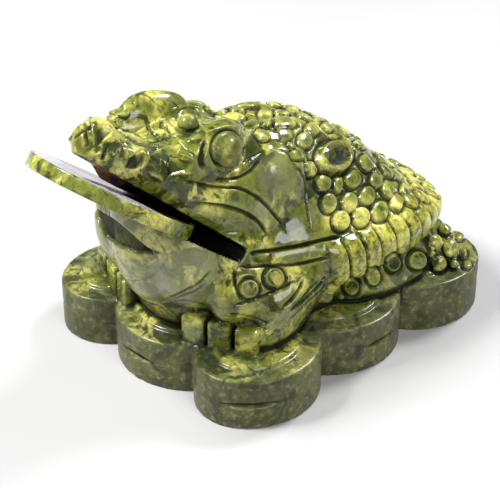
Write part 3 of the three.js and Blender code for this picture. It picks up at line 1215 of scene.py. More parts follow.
LOBES = (
    (0.637, 0.632, 0.363, 0.352),
    (0.637, -0.632, 0.363, 0.352),
    (-0.637, 0.632, 0.363, 0.352),
    (-0.637, -0.632, 0.363, 0.352),
    (0.0, 0.598, 0.49, 0.402),
    (0.0, -0.598, 0.49, 0.402),
    (0.475, 0.0, 0.495, 0.406),
    (-0.475, 0.0, 0.495, 0.406),
)
LOBE_CORE = (0.0, 0.0, 0.7, 0.75)

# Clay of the figure
FOOT_TURN = 21.0
HEAD_BALLS = {
    "snout": Ball((0, -147, 146.5), (13.5, 13, 14), mirrored=False),
    "nostril swelling": Ball((14, -132, 132), (10, 12, 11)),
    "brow": Ball((30, -83, 127), (12, 32, 18.5), (0, 0, 8)),
    "temple": Ball((28, -57, 115), (12, 26, 12.5)),
}
THROAT_BALLS = {
    "chin": Ball((0, -93, 70), (34, 40, 60), mirrored=False),
    "throat": Ball((21, -86, 63), (30, 40, 46), (0, 0, 25)),
}
BODY_BALLS = {
    "neck": Ball((38, -38, 88), (18, 26, 30)),
    "cheek": Ball((38, -74, 63), (20, 30, 16)),
    "shoulder": Ball((48, -70, 35), (22, 34, 25), (0, 0, 12)),
    "upper arm": Ball((67, -50, 28), (14, 34, 19), (24, 0, 0)),
    "forearm": Ball((64, -56, 10), (13, 34, 13), (0, 0, 12)),
    "foot": Ball((50, -80, 8), (27, 14, 14), (0, 0, FOOT_TURN)),
    "haunch": Ball((65, 38, 10), (22, 50, 19), (0, 0, -3)),
}
SMALL_BALLS = {
    "pearl": Ball((0, -75, 131), (7, 7, 7.5), mirrored=False),
    "eye": Ball((39.5, -80, 127.5), (9.6, 10.5, 11.6), (0, 0, 8)),
}

# Carving of the head

EYE = Pebble((227.5, 149.0), (15.5, 19.0))
PEARL = Pebble((188.5, 119.5), (11.0, 11.0))

HEAD_STROKES = (
    # Cheek creases
    Stroke(((166, 181), (190, 182.5), (205, 186), (225, 187.5), (240, 188.5), (252, 194), (264, 203),
            (274, 214), (284, 226), (291, 237)), 2.7, Depth.CREASE),
    Stroke(((189, 203), (205, 204), (225, 206.5), (243, 212), (256, 220), (264, 229), (274, 243)),
           2.6, Depth.CREASE),
    # Eye: groove round the ball, lids that meet in a corner, crescent below
    Stroke(oval(EYE.pixel, (16.6, 20.0)), 2.2, Depth.CREASE, 0.0),
    Stroke(((200, 136), (214, 130), (228, 126.5), (241, 127.5), (252, 134), (264, 149)),
           2.0, Depth.RIDGE),
    Stroke(((240, 129), (251, 134), (259, 144), (265, 151)), 1.5, Depth.LINE),
    Stroke(((265, 150), (256, 155), (247, 159), (241, 165)), 1.5, Depth.LINE),
    Stroke(((213, 165), (224, 171.5), (238, 170.5), (251, 161), (262, 154)), 1.8, Depth.RIDGE),
    Stroke(((211, 179.5), (225, 179), (238, 177.5), (249, 171.5), (256, 164), (263, 156)),
           2.3, Depth.CREASE),
    # Pearl in its lids
    Stroke(oval(PEARL.pixel, (12.0, 12.2)), 1.5, Depth.LINE, 0.0),
    Stroke(((163, 115.5), (172, 110), (185, 106.5), (199, 108), (210, 113), (219, 125)),
           1.8, Depth.RIDGE),
    Stroke(((164, 117), (172, 125), (182, 132.5), (194, 133.5), (206, 129)), 1.6, Depth.LINE),
    Stroke(((133, 134.5), (148, 127), (163, 117)), 1.8, Depth.RIDGE),
    # Facets of the muzzle
    Stroke(((84, 121), (85, 134), (88, 149)), 3.0, Depth.CREASE),
    Stroke(((92, 120), (93, 134), (95, 150)), 2.2, Depth.RIDGE),
    Stroke(((101, 122), (112, 131), (117, 136)), 2.0, Depth.RIDGE),
    Stroke(((100, 161), (106, 150), (112, 141)), 2.6, Depth.LINE),
    Stroke(((117, 140), (122, 146), (121, 160)), 1.8, Depth.RIDGE),
    Stroke(((143, 151), (143, 160), (136, 167), (127, 169)), 3.0, Depth.CREASE),
    Stroke(((139, 149), (147, 150), (149, 157), (146, 165), (138, 171)), 1.6, Depth.RIDGE),
    Stroke(((133, 150), (124, 143), (131, 137), (144, 139)), 1.8, Depth.RIDGE),
    Stroke(((160, 151), (160, 168), (160, 180)), 2.0, Depth.RIDGE),
    Stroke(((164, 120), (150, 126), (159, 139), (166, 133), (164, 120)), 1.6, Depth.RIDGE, 0.0),
    Stroke(((167, 127), (170, 136), (160, 141)), 3.4, Depth.LINE),
    Stroke(((157, 148), (168, 144), (177, 142)), 1.8, Depth.LINE),
    Stroke(((178, 146), (187, 150), (197, 157)), 1.6, Depth.LINE),
    Stroke(((177, 152), (186, 156), (198, 161)), 1.6, Depth.RIDGE),
    Stroke(((206, 138), (203, 150), (201, 162), (207, 170)), 5.0, Depth.CREASE),
    Stroke(((166, 177), (178, 174), (195, 173)), 2.0, Depth.RIDGE),
    # Rear edge of the plain neck
    Stroke(((266, 150), (284, 151), (294, 163), (303, 176), (306, 190), (306, 203),
            (309, 222), (314, 236)), 1.6, Depth.LINE),
)

# Chiselled planes of the muzzle: snout, nostril, cheek bones and the hollow before the eye; the two by
# the nostril have painted shade
HEAD_FACETS = (
    Facet(((92, 150), (96, 131), (103, 124), (112, 128), (112, 134), (101, 144)), (0.1, -0.2), 1.3),
    Facet(((97, 154), (101, 145), (113, 134), (121, 141), (112, 160), (104, 162)), (0.25, 0.1), 0.3),
    Facet(((121, 140), (127, 135), (138, 136), (150, 147), (140, 151), (130, 158), (122, 160)),
          (-0.1, 0.15), -1.4),
    Facet(((124, 169), (130, 158), (143, 151), (147, 154), (143, 164), (132, 168)),
          (-0.2, -0.2), 2.0, 0.7),
    Facet(((147, 160), (152, 152), (160, 152), (165, 170), (162, 182), (150, 176), (145, 170)),
          (-0.2, 0.0), -0.6, 0.35),
    Facet(((161, 152), (170, 157), (198, 163), (200, 170), (168, 178), (165, 170)), (0.05, -0.2), 0.5),
    Facet(((160, 128), (168, 125), (177, 138), (170, 143), (158, 146)), (0.2, -0.1), 1.2),
    Facet(((178, 144), (190, 139), (203, 138), (201, 152), (196, 158), (186, 150)), (0.15, 0.2), 0.8),
    Facet(((125, 134), (140, 128), (158, 126), (160, 140), (157, 148), (150, 147), (138, 136)),
          (-0.1, 0.1), 0.2),
)

# Leaf-shaped cut in the chin, painted dark as the shade in it
CHIN_LEAF = Facet(
    ((94, 206), (105, 214), (117, 221), (137.5, 239), (156, 255), (138, 254.5), (120, 248.5), (104, 237),
     (95, 218)),
    (0.0, 0.0), 3.2, 0.75, mirrored=False, flat=0.0,
)

# Carving of the jaw, chest and front legs

BODY_STROKES = (
    # Double jaw lines
    Stroke(((246, 254.5), (262, 252), (280, 249), (300, 245.5), (320, 240.5), (345, 235)),
           3.2, Depth.GASH, 0.1),
    Stroke(((236, 266.5), (255, 266), (275, 265), (290, 265), (305, 262.5), (331, 257)),
           2.8, Depth.CREASE, 0.1),
    # Panel with the two ringed discs
    Stroke(((234, 268), (234.5, 280), (237, 291), (243, 302)), 2.8, Depth.CREASE),
    Stroke(((228, 308), (243, 303), (256, 299), (268, 294), (280, 289), (290, 283), (301, 279)),
           2.2, Depth.CREASE),
    # Strokes down the arm
    Stroke(((304.5, 276), (300, 288), (293, 298), (280, 310)), 2.8, Depth.CREASE),
    Stroke(((327, 272), (321, 283), (310, 295), (298, 305), (286, 314)), 2.8, Depth.CREASE),
    Stroke(((320, 278), (309, 290), (301, 299), (289, 309)), 1.4, Depth.LINE),
    Stroke(((345, 271), (331, 283), (318, 293), (306, 304), (294, 315)), 1.5, Depth.LINE),
    Stroke(((314, 294), (303, 307), (288, 322)), 1.4, Depth.LINE),
    # Wrist
    Stroke(((222, 314), (240, 315), (254, 318), (272, 325)), 1.5, Depth.LINE),
    Stroke(((240, 318), (254, 322.5), (270, 331)), 1.3, Depth.LINE),
    Stroke(((246, 323), (258, 328), (270, 335)), 1.3, Depth.HAIR),
    # Chin: crease along the leaf-shaped cut, and the lower edge of the bowl
    Stroke(((98, 213), (108, 226), (122, 238), (138, 248), (153, 254)), 1.8, Depth.CREASE, 0.3),
    Stroke(((112, 271), (120, 279), (135, 280.5), (150, 277), (162, 267), (167, 255),
            (160, 243), (150, 230)), 1.5, Depth.HAIR),
    # Chest folds and fine striations
    Stroke(((158, 301.5), (170, 298), (186, 290), (198, 284), (208, 274), (216, 268)), 2.0, Depth.LINE),
    Stroke(((168, 303), (182, 296), (196, 291), (206, 283)), 1.6, Depth.LINE),
    Stroke(((168, 303), (185, 301), (200, 303.5), (214, 308)), 1.6, Depth.LINE),
    Stroke(((172, 308), (186, 307), (196, 311)), 1.6, Depth.LINE),
)

# Flat discs, each in its own moat
SHOULDER_DISCS = pebbles((249.5, 289, 9.3, 9.3), (274.5, 277.5, 9.3, 9.6))
FLANK_DISCS = pebbles(
    (351.5, 287, 7.5, 8.5), (373.6, 277, 6.8, 8.8), (393.5, 263, 7.2, 8.6), (418, 260.5, 8.8, 9.2),
    (439, 263.5, 7.6, 8.0),
)

# Darker ovals: the oval, how dark it is and how high it rises
TINTS = ((EYE, 0.45, 1.6), (PEARL, 0.4, 0.0), *((disc, 0.5, 0.0) for disc in SHOULDER_DISCS))

BACK_PEBBLES = pebbles(
    (309, 169.5, 9.0, 8.5), (323, 183.5, 8.5, 9.5), (337.5, 184.5, 4.8, 10.5),
    (352, 179.5, 9.2, 10.0), (365.5, 163.5, 9.0, 9.8), (375, 181, 7.2, 9.4),
    (328.5, 203, 8.6, 10.5), (349, 202.5, 8.6, 10.8), (367, 196, 8.2, 10.4),
    (387, 189.5, 7.0, 10.4), (341, 221, 9.2, 11.0), (361, 217, 9.2, 10.6),
    (379.5, 211.5, 8.8, 11.2), (396.5, 202.5, 6.8, 10.6), (396, 175.5, 6.0, 10.5),
    (404, 190, 4.6, 11.0), (384, 161, 7.0, 10.5), (393, 158, 4.6, 7.5), (297.5, 155, 9.5, 5.6),
    (291, 146.5, 6.5, 4.0), (263, 135, 9.8, 7.0), (283, 136, 10.0, 8.2), (285, 123.5, 12.5, 6.0),
    (252, 126, 9.5, 5.4), (266.5, 124, 5.6, 4.4), (304.5, 141, 8.0, 9.0), (312, 129.5, 8.0, 7.6),
    (327, 127.5, 7.4, 5.4), (344, 132, 8.6, 4.6), (359, 145, 8.0, 5.5), (374, 148, 7.0, 6.0),
    (245, 113.5, 10.5, 6.4), (265, 114, 8.0, 4.6), (281.5, 114, 8.4, 4.6),
)
# Pebbles of the third leg, which is only on the left
TAIL_PEBBLES = pebbles(
    (434, 243, 7.4, 8.2), (450, 248.5, 7.2, 9.4), (462, 253.5, 5.4, 7.6), (445, 229.5, 6.4, 6.2),
    (457, 236.5, 6.4, 7.4), (453.5, 264.5, 4.8, 4.6), (467, 266, 5.2, 4.8), (432, 255, 3.8, 3.8),
    mirrored=False,
)

# Pale grey clouds in the stone of the neck, the shoulder and the chest
ASHEN_PLACES = (((276, 176), 17.0), ((262, 208), 9.0), ((168, 268), 16.0), ((196, 296), 12.0))

# The large ring on the back, its hollow and the ball in it
RING = Pebble((334, 158), (18.0, 17.0))
RING_HOLLOW = Pebble((335, 158.5), (12.6, 9.6))
RING_BALL = Pebble((329, 156), (6.6, 5.2))

# Nubs of the third leg and of the elbows: pixel and radius
TAIL_NUBS = (
    ((433, 242), 6.6), ((449, 247.5), 6.8), ((460.5, 251.5), 5.6), ((455, 238), 5.6),
    ((443, 231), 5.2), ((453.5, 265), 5.4), ((467, 265), 4.2), ((438.5, 262.5), 6.8),
    ((452, 229), 4.2), ((431, 254), 4.0), ((446, 256), 4.6),
)
ELBOW_NUBS = (((327, 297), 5.2), ((341, 296), 3.6), ((315, 308), 5.0), ((332, 308), 4.2))


@dataclass
class ToadFigure:
    """The toad, carved in one with its lobed plinth.

    Each row of warts is an angle round the torso, the first and last y, and the radius. Each of
    slot_keep, palate_front and palate_rear is where something begins and where it is in full, and
    so are the pairs of the ashen chin and of the belt. The walls and the moat of the ring are in
    shares of its ovals.
    """

    torso: Torso = field(default_factory=Torso)
    skull: Skull = field(default_factory=Skull)
    mouth: Mouth = field(default_factory=Mouth)
    mass_edge: float = 1.5
    head_rounds: int = 9
    throat_rounds: int = 14
    body_rounds: int = 6
    tier_inset: float = 13.0
    tier_height: float = 2.5
    tier_edge: float = 1.0
    lobe_edge: float = 2.2
    toes: tuple = ((31, -98), (48.5, -92), (66, -85))
    toe_size: tuple = (15.2, 20.0, 21.0)
    toe_edge: float = 2.0
    toe_sunk: float = 1.0
    tail: tuple = ((16, 103, 8, 17), (36, 102, 5, 18), (56, 95, 2, 18), (74, 87, 0, 17))
    tail_back_nubs: tuple = (
        (70, 100, 8, 6.5), (56, 105, 9, 6.5), (40, 112, 10, 6), (24, 115, 12, 6),
    )
    tail_flatness: float = 0.8
    nub_sunk: float = 0.3
    slot_keep: tuple = (2.0, 7.0)
    palate_play: float = 0.25
    palate_front: tuple = (-84.0, -76.0)
    palate_rear: tuple = (-4.0, 0.0)
    wart_pitch: float = 17.0
    wart_rows: tuple = (
        (24.5, -10, 92, 6.8),
        (33.5, -19, 98, 6.8),
        (42.0, -10, 98, 6.8),
        (50.5, -19, 100, 6.8),
        (60.5, -28, 104, 6.6),
        (71.0, -36, 104, 5.8),
        (83.0, -28, 104, 5.4),
    )
    pebble_height: float = 2.3
    pebble_moat: float = 1.5
    ring_reach: float = 34.0
    ring_room: float = 15.0
    ring_height: float = 4.2
    ring_hollow: float = 3.4
    ring_moat: float = 1.6
    ring_knob: float = 1.6
    ring_wall: tuple = (0.82, 1.04)
    hollow_wall: tuple = (0.62, 1.04)
    moat_middle: float = 1.12
    moat_width: float = 0.1
    belt_lead: float = 2.0
    belt_margin: float = 5.0
    belt_reach: tuple = (7.0, 10.0)
    knuckle_pitch: float = 14.4
    knuckle_lean: float = 0.16
    knuckle_height: float = 1.5
    notch_depth: float = 2.4
    notch_width: float = 0.11
    slit_lengths: tuple = (38.0, 52.0)
    slit_width: float = 4.8
    slit_depth: float = 3.4
    slit_taper: float = 0.4
    contact_depth: float = 1.8
    contact_reach: float = 3.2
    paint_skin: float = 0.7
    paint_front: float = -110.0
    paint_reach: float = 6.0
    bare_top: float = 0.33
    ashen_chin: tuple = (-96.0, -112.0)
    ashen_foot: tuple = (15.0, 30.0)
    belt_outside: tuple = (40.0, 60.0)
    cavity_rounds: int = 6
    valley_rounds: int = 70
    shadow_height: float = 24.0
    shadow_weight: float = 3.0
    triangle_limit: int = 194000

    def head(self) -> bpy.types.Object:
        """Models the head above the slot.

        Returns:
            The head, with its snout, nostril swellings and brows.
        """
        clay = Clay("head")
        clay.loft(self.skull)
        clay.balls(HEAD_BALLS)
        head = relaxed(remeshed(clay.heap(), self.mass_edge), self.head_rounds)
        return cut(head, self.mouth.side(above=False))

    def throat(self) -> bpy.types.Object:
        """Models the throat and chin below the slot.

        Returns:
            The throat.
        """
        clay = Clay("throat")
        clay.balls(THROAT_BALLS, segments=64)
        throat = relaxed(remeshed(clay.heap(), self.mass_edge), self.throat_rounds)
        return cut(throat, self.mouth.side(above=True))

    def body(self) -> bpy.types.Object:
        """Models the torso with all that grows out of it.

        Returns:
            The torso with its cheeks, legs, haunches and the third leg that curls to the left.
        """
        clay = Clay("body")
        clay.loft(self.torso)
        clay.balls(BODY_BALLS)
        for x, y, z, r in self.tail:
            clay.ball(at(x, y, z), (r, r, r * self.tail_flatness))
        return relaxed(remeshed(clay.heap(), self.mass_edge), self.body_rounds)

    def plinth(self) -> bpy.types.Object:
        """Models the lobed plinth with its tier.

        Returns:
            Its blocks, still overlapping.
        """
        clay = Clay("plinth")
        w, l = PLINTH_HALF_WIDTH, PLINTH_HALF_LENGTH
        low = PLINTH_HEIGHT / 2
        for x, y, rx, ry in (*LOBES, LOBE_CORE):
            clay.lobe(Vector((x * w, y * l, 0.0)), (rx * w, ry * l), PLINTH_HEIGHT, self.lobe_edge)
            inner = (rx * w - self.tier_inset, ry * l - self.tier_inset)
            clay.lobe(Vector((x * w, y * l, low)), inner, low + self.tier_height, self.tier_edge)
        return clay.heap()

    def small_forms(self) -> bpy.types.Object:
        """Models eyes, pearl, toes and the nubs of the elbows and of the third leg.

        Returns:
            The forms as one object, still overlapping.
        """
        clay = Clay("small_forms")
        clay.balls(SMALL_BALLS)
        for side in Side:
            for x, y in self.toes:
                place = at(side.value * x, y, self.toe_size[2] / 2 - self.toe_sunk)
                clay.block(place, self.toe_size, self.toe_edge, side.value * FOOT_TURN)
        for nubs, sides in ((TAIL_NUBS, (Side.LEFT,)), (ELBOW_NUBS, Side)):
            for pixel, radius in nubs:
                found = self.skin.hit(pixel)
                for side in sides if found is not None else ():
                    middle = found[0] - found[1] * radius * self.nub_sunk
                    clay.ball(Vector(side.mirror(middle)), (radius, radius, radius))
        for x, y, z, r in self.tail_back_nubs:
            clay.ball(at(x, y, z), (r, r, r))
        return clay.heap()

    def fused(self) -> bpy.types.Object:
        """Joins all forms to one skin, with the slot cut through it.

        Returns:
            The whole stone, before the fine carving.
        """
        forms = joined([self.head(), self.throat(), self.body()], "masses")
        masses = remeshed(forms, self.mass_edge)
        behind, height = self.mouth.local(places_of(masses.data))
        off_slot = np.minimum(np.abs(height), np.abs(height - self.mouth.roof(behind)))
        relaxed(masses, 8, 0.5 * smooth(*self.slot_keep, np.where(behind < 6.0, off_slot, 10.0)))
        self.skin = Surface(masses)
        stone = joined([masses, self.plinth(), self.small_forms()], "toad_stone")
        stone = cut(remeshed(stone, LEVEL.value), self.mouth.wedge())
        relaxed(remeshed(stone, LEVEL.value), 2)
        self.lower_palate(stone.data)
        return stone

    def lower_palate(self, mesh: bpy.types.Mesh) -> None:
        """Swells the middle of the palate towards the coin.

        Args:
            mesh: The fused stone.
        """
        places = places_of(mesh)
        behind, height = self.mouth.local(places)
        roof = self.mouth.roof(behind)
        gap = roof - Coin.clearance - Coin.thickness
        half = np.maximum(self.skull.profiles[0](places[:, 1]), 1.0)
        inner = 1.0 - smooth(0.3, 0.9, np.abs(places[:, 0]) / half)
        along = smooth(*self.palate_front, behind) * (1.0 - smooth(*self.palate_rear, behind))
        on_palate = 1.0 - smooth(0.4, 3.0, np.abs(height - roof))
        drop = np.maximum(gap, 0.0) * (1.0 - self.palate_play) * inner * along * on_palate
        down = np.array(self.mouth.place.to_3x3() @ Vector((0.0, 0.0, -1.0)))
        set_places(mesh, places + drop[:, None] * down)

    def carve(self, stone: bpy.types.Object) -> None:
        """Carves pebbles, rings, knuckles, creases and slits.

        Args:
            stone: The fused stone.
        """
        carver = Carver(stone)
        for _, centre, _ in carver.spots(RING, 0.0):
            carver.pebbles.append((centre, PIXEL * self.ring_room))
        for pebble in (*BACK_PEBBLES, *TAIL_PEBBLES):
            carver.seen_pebble(pebble)
        self.lay_rows(carver)
        carver.raise_pebbles(self.pebble_height, self.pebble_moat)
        for disc in (*SHOULDER_DISCS, *FLANK_DISCS):
            carver.ringed(disc)
        self.carve_ring(carver)
        self.carve_belt(carver)
        for facet in (*HEAD_FACETS, CHIN_LEAF):
            carver.facet(facet)
        for pebble, amount, height in TINTS:
            carver.tint(pebble, amount, height)
        for stroke in (*HEAD_STROKES, *BODY_STROKES):
            carver.stroke(stroke)
        self.carve_slits(carver)
        self.carve_contact(carver)
        carver.finish()

    def lay_rows(self, carver: Carver) -> None:
        """Fills the back behind the photographed pebbles with rows of the same ones.

        Args:
            carver: The carver of the fused stone.
        """
        for degrees, first, last, radius in self.wart_rows:
            for y in np.arange(first, last + 1, self.wart_pitch):
                place = self.torso.skin(y, np.array(math.radians(degrees)))
                for side in Side:
                    carver.laid_pebble(carver.surface.snapped(side.mirror(place)), radius)

    def carve_ring(self, carver: Carver) -> None:
        """Raises the large ring on each side of the back round its hollow and ball, with painted shade
        in the moat and the hollow.

        Args:
            carver: The carver of the fused stone.
        """
        for side, _, index in carver.spots(RING, PIXEL * self.ring_reach):
            outer, hollow, ball = (
                carver.out(side, index, each) for each in (RING, RING_HOLLOW, RING_BALL)
            )
            wall = 1.0 - smooth(*self.ring_wall, outer)
            sunk = 1.0 - smooth(*self.hollow_wall, hollow)
            moat = np.exp(-(((outer - self.moat_middle) / self.moat_width) ** 2))
            knob = np.sqrt(np.maximum(1.0 - ball**2, 0.0))
            carver.lift[index] *= 1.0 - wall
            raised = self.ring_height * wall + self.ring_knob * knob
            carver.lift[index] += raised - self.ring_hollow * sunk - self.ring_moat * moat
            # painted shade in the moat and the hollow
            carver.shade(index, np.maximum(moat, 0.3 * sunk))

    def carve_belt(self, carver: Carver) -> None:
        """Parts the belt round the flanks and the rump into knuckles, with painted shade in the notches.

        Args:
            carver: The carver of the fused stone.
        """
        torso = self.torso
        y = np.linspace(torso.belt_start, torso.ends.rear, 400)
        outline = torso.skin(y, np.zeros_like(y))[:, :2]
        steps = np.linalg.norm(np.diff(outline, axis=0), axis=1)
        length = np.concatenate(([0.0], np.cumsum(steps)))
        low, high = at(0, 0, torso.belt_low).z, at(0, 0, torso.belt_high).z
        heights = carver.places[:, 2]
        inside = (heights > low - self.belt_margin) & (heights < high + self.belt_margin)
        inside &= carver.places[:, 1] > torso.belt_start - self.belt_lead
        index = np.nonzero(inside)[0]
        x, y, z = carver.places[index].T
        nearest, away = nearest_on(outline, np.stack((np.abs(x), y), axis=1))
        leaning = length[nearest] + self.knuckle_lean * (z - low)
        phase = np.abs(((leaning / self.knuckle_pitch) % 1.0) - 0.5) * 2.0
        tall = smooth(low - 3, low + 2, z) * (1.0 - smooth(high - 2, high + 3, z))
        on_belt = tall * (1.0 - smooth(*self.belt_reach, away))
        on_belt *= 1.0 - np.minimum(carver.disc[index], 1.0)
        notch = np.exp(-(((1.0 - phase) / self.notch_width) ** 2))
        rise = self.knuckle_height * (1.0 - phase**3) - self.notch_depth * notch
        carver.lift[index] += on_belt * rise
        # painted shade in the notches
        carver.shade(index, on_belt * notch)

    def carve_slits(self, carver: Carver) -> None:
        """Cuts the thin pointed slits into the outer faces of the lobes, with painted shade in them.

        Args:
            carver: The carver of the fused stone.
        """
        w, l = PLINTH_HALF_WIDTH, PLINTH_HALF_LENGTH
        for x, y, rx, ry in LOBES:
            spread = self.slit_lengths[int(x != 0.0 and y != 0.0)] / (rx * w + ry * l)
            middle = math.atan2(np.sign(y), np.sign(x))
            angle = np.linspace(middle - spread, middle + spread, 80)
            rim = (x * w + rx * w * np.cos(angle), y * l + ry * l * np.sin(angle))
            path = np.stack((*rim, np.full_like(angle, PLINTH_HEIGHT / 2)), axis=1)
            # the line paints shade into each slit
            carver.line(path, self.slit_width, self.slit_depth, self.slit_taper)

    def carve_contact(self, carver: Carver) -> None:
        """Undercuts the figure where it meets the plinth and paints shade into the joint, so that it
        reads dark and sharp.

        Args:
            carver: The carver of the fused stone.
        """
        z = carver.places[:, 2] - PLINTH_HEIGHT
        level = (z > -1.5) & (z < self.tier_height + 2.5) & (carver.normals[:, 2] > 0.25)
        index = np.nonzero(level)[0]
        away = self.skin.distances(carver.places[index])
        close = 1.0 - smooth(0.3, self.contact_reach, away)
        carver.lift[index] -= self.contact_depth * close
        # painted shade along the joint
        carver.shade(index, close)

    def thin(self, stone: bpy.types.Object) -> None:
        """Thins the mesh to its triangle limit, most where it is smooth.

        Args:
            stone: The carved stone.
        """
        triangles = 2 * len(stone.data.polygons)
        if triangles > self.triangle_limit:
            modifier = stone.modifiers.new("thin", "DECIMATE")
            modifier.ratio = self.triangle_limit / triangles
            applied(stone)

    def masks(self, mesh: bpy.types.Mesh) -> None:
        """Stores where paint, plinth, ashen stone and belt are, and how hollow the carving is, for
        painted shade and highlights.

        Args:
            mesh: The carved stone, still in millimetres.
        """
        places = places_of(mesh)
        facing_up = normals_of(mesh)[:, 2]
        z = places[:, 2] - PLINTH_HEIGHT
        behind, height = self.mouth.local(places)
        roof = self.mouth.roof(behind)
        skin = self.paint_skin
        reach = np.where(height > roof / 2, self.paint_reach, skin)
        painted = (height > -skin) & (height < roof + skin)
        painted |= (height < roof) & (height > roof - reach)
        painted &= (behind < 0.8) & (behind > self.paint_front)
        store(mesh, "paint", painted)
        bare = 1.0 - self.bare_top * smooth(0.3, 0.9, facing_up)
        store(mesh, "plinth", (1.0 - smooth(-1.0, 4.0, z)) * bare)
        ashen = smooth(*self.ashen_chin, places[:, 1]) * smooth(*self.ashen_foot, z) * (height < 0.0)
        for pixel, radius in ASHEN_PLACES:
            for side in Side:
                away = np.linalg.norm(places - side.mirror(self.skin.hit(pixel)[0]), axis=1)
                ashen = np.maximum(ashen, 1.0 - smooth(0.4 * radius, radius, away))
        store(mesh, "ashen", ashen)
        outside = smooth(*self.belt_outside, np.hypot(places[:, 0], 0.4 * places[:, 1]))
        store(mesh, "belt", self.torso.belt_rise(places[:, 1], z) * outside)
        # cavity: painted shade in small hollows and painted highlights on edges, in the shader
        store(mesh, "cavity", cavity_of(mesh, self.cavity_rounds))
        # painted shadow under the belly: faces that look down, low over the plinth
        low = (1.0 - smooth(3.0, self.shadow_height, z)) * (z > 0.0)
        under = smooth(0.15, -0.35, facing_up)
        # painted shade in wide hollows, with the painted shadow under the belly
        valley = cavity_of(mesh, self.valley_rounds) + self.shadow_weight * low * under
        store(mesh, "valley", valley)

    def build(self) -> bpy.types.Object:
        """Models, carves and masks the toad.

        Returns:
            The finished stone in metres.
        """
        stone = self.fused()
        LOG.info("fused stone: %d faces", len(stone.data.polygons))
        self.carve(stone)
        relaxed(stone, 1, 0.3)
        if LEVEL is Level.FINE:
            self.thin(stone)
        self.masks(stone.data)
        set_places(stone.data, places_of(stone.data) * MM)
        stone.data.shade_smooth()
        return stone


@dataclass
class Coin:
    """The loose stone coin with its printed upper face."""

    mouth: Mouth = field(default_factory=Mouth)
    diameter: float = 108.0
    thickness: float = 9.0
    clearance: float = 0.35
    back_gap: float = 16.5
    edge: float = 1.0

    def build(self) -> bpy.types.Object:
        """Models the coin, lying on the slot's floor.

        Returns:
            The coin in metres.
        """
        radius = self.diameter / 2
        bm = bmesh.new()
        bmesh.ops.create_cone(
            bm, cap_ends=True, segments=180, radius1=radius, radius2=radius, depth=self.thickness
        )
        rims = [
            each for each in bm.edges
            if len(each.link_faces[0].verts) != len(each.link_faces[1].verts)
        ]
        rounded(bm, rims, self.edge, segments=4)
        layer = bm.loops.layers.uv.new("face")
        for loop in (loop for face in bm.faces for loop in face.loops):
            place = loop.vert.co / self.diameter
            loop[layer].uv = (place.x + 0.5, place.y + 0.5)
        printed = bm.verts.layers.float.new("print")
        for vert in bm.verts:
            vert[printed] = float(vert.co.z > self.thickness / 2 - 0.01)
        middle = Vector((0.0, -self.back_gap - radius, self.clearance + self.thickness / 2))
        place = self.mouth.place @ Matrix.Translation(middle)
        bmesh.ops.transform(bm, matrix=Matrix.Diagonal((MM, MM, MM, 1.0)) @ place, verts=bm.verts)
        coin = finished_bmesh(bm, "stone_coin")
        coin.data.shade_smooth()
        return coin


# Finishes


@dataclass(frozen=True)
class StoneFinish:
    """Polished serpentine: linear colours, gloss, and how strongly each mask takes its colour; dark is
    also painted shade and pale painted highlight.

    A step holds the values between which a mask grows, and then what it grows from and to where
    that isn't 0 and 1.
    """

    pale: tuple = (0.56, 0.54, 0.12, 1.0)
    yellow: tuple = (0.56, 0.52, 0.05, 1.0)
    green: tuple = (0.122, 0.145, 0.017, 1.0)
    deep: tuple = (0.023, 0.036, 0.004, 1.0)
    dark: tuple = (0.006, 0.010, 0.003, 1.0)
    grey: tuple = (0.26, 0.27, 0.155, 1.0)
    plinth: tuple = (0.052, 0.058, 0.033, 1.0)
    speck: tuple = (0.16, 0.165, 0.09, 1.0)
    paint: tuple = (0.004, 0.004, 0.005, 1.0)
    cloud_scale: float = 28.0
    grey_share: float = 0.35
    deep_share: float = 0.92
    vein_share: float = 0.5
    belt_share: float = 0.5
    plinth_share: float = 0.93
    # valley_share and hollow_share: how strongly the painted shade takes the dark colour
    valley_share: float = 0.92
    hollow_share: float = 0.95
    plinth_dark_share: float = 0.5
    veil_step: tuple = (0.3, 0.6, 0.75, 0.35)
    belt_step: tuple = (0.4, 0.6)
    speck_step: tuple = (0.5, 0.75)
    # hollow_step and valley_step: where the painted shade begins and is full
    hollow_step: tuple = (0.05, 0.5)
    valley_step: tuple = (0.0, 2.8)
    # edge_step and edge_share_step: painted highlights on edges in the pale colour, weaker on the plinth
    edge_step: tuple = (-0.08, -0.5)
    edge_share_step: tuple = (0.0, 1.0, 0.3, 0.05)
    tone_step: tuple = (0.3, 0.7, 0.78, 1.18)
    rough_step: tuple = (0.3, 0.75)
    coat_end: float = 0.8
    roughness: float = 0.18
    roughness_spread: tuple = (-0.05, 0.12)
    sawn: float = 0.6
    dullness: float = 0.5
    coat: float = 0.5
    coat_roughness: float = 0.08
    specular: float = 0.2
    grain: float = 0.25
    grain_depth: float = 0.0004


@dataclass(frozen=True)
class PrintFinish:
    """Bright generic print on the coin's face, painted black as the shade of the snout.

    bands are places from 0 to 1 with their colours, black_from says how far back on the face the
    black begins and is full, rim where the print begins at the rim and is full, and swirl is the
    scale, the detail and the distortion of the noise that turns the bands.
    """

    bands: tuple = (
        (0.0, (0.10, 0.09, 0.28, 1.0)), (0.2, (0.62, 0.60, 0.66, 1.0)), (0.38, (0.70, 0.24, 0.05, 1.0)),
        (0.58, (0.80, 0.42, 0.16, 1.0)), (0.75, (0.04, 0.06, 0.24, 1.0)), (1.0, (0.60, 0.57, 0.55, 1.0)),
    )
    # black: the painted shade over the print under the snout
    black: tuple = (0.006, 0.006, 0.008, 1.0)
    black_from: tuple = (-0.10, -0.02)
    rim: tuple = (0.485, 0.475)
    swirl: tuple = (9.0, 3.0, 1.0)


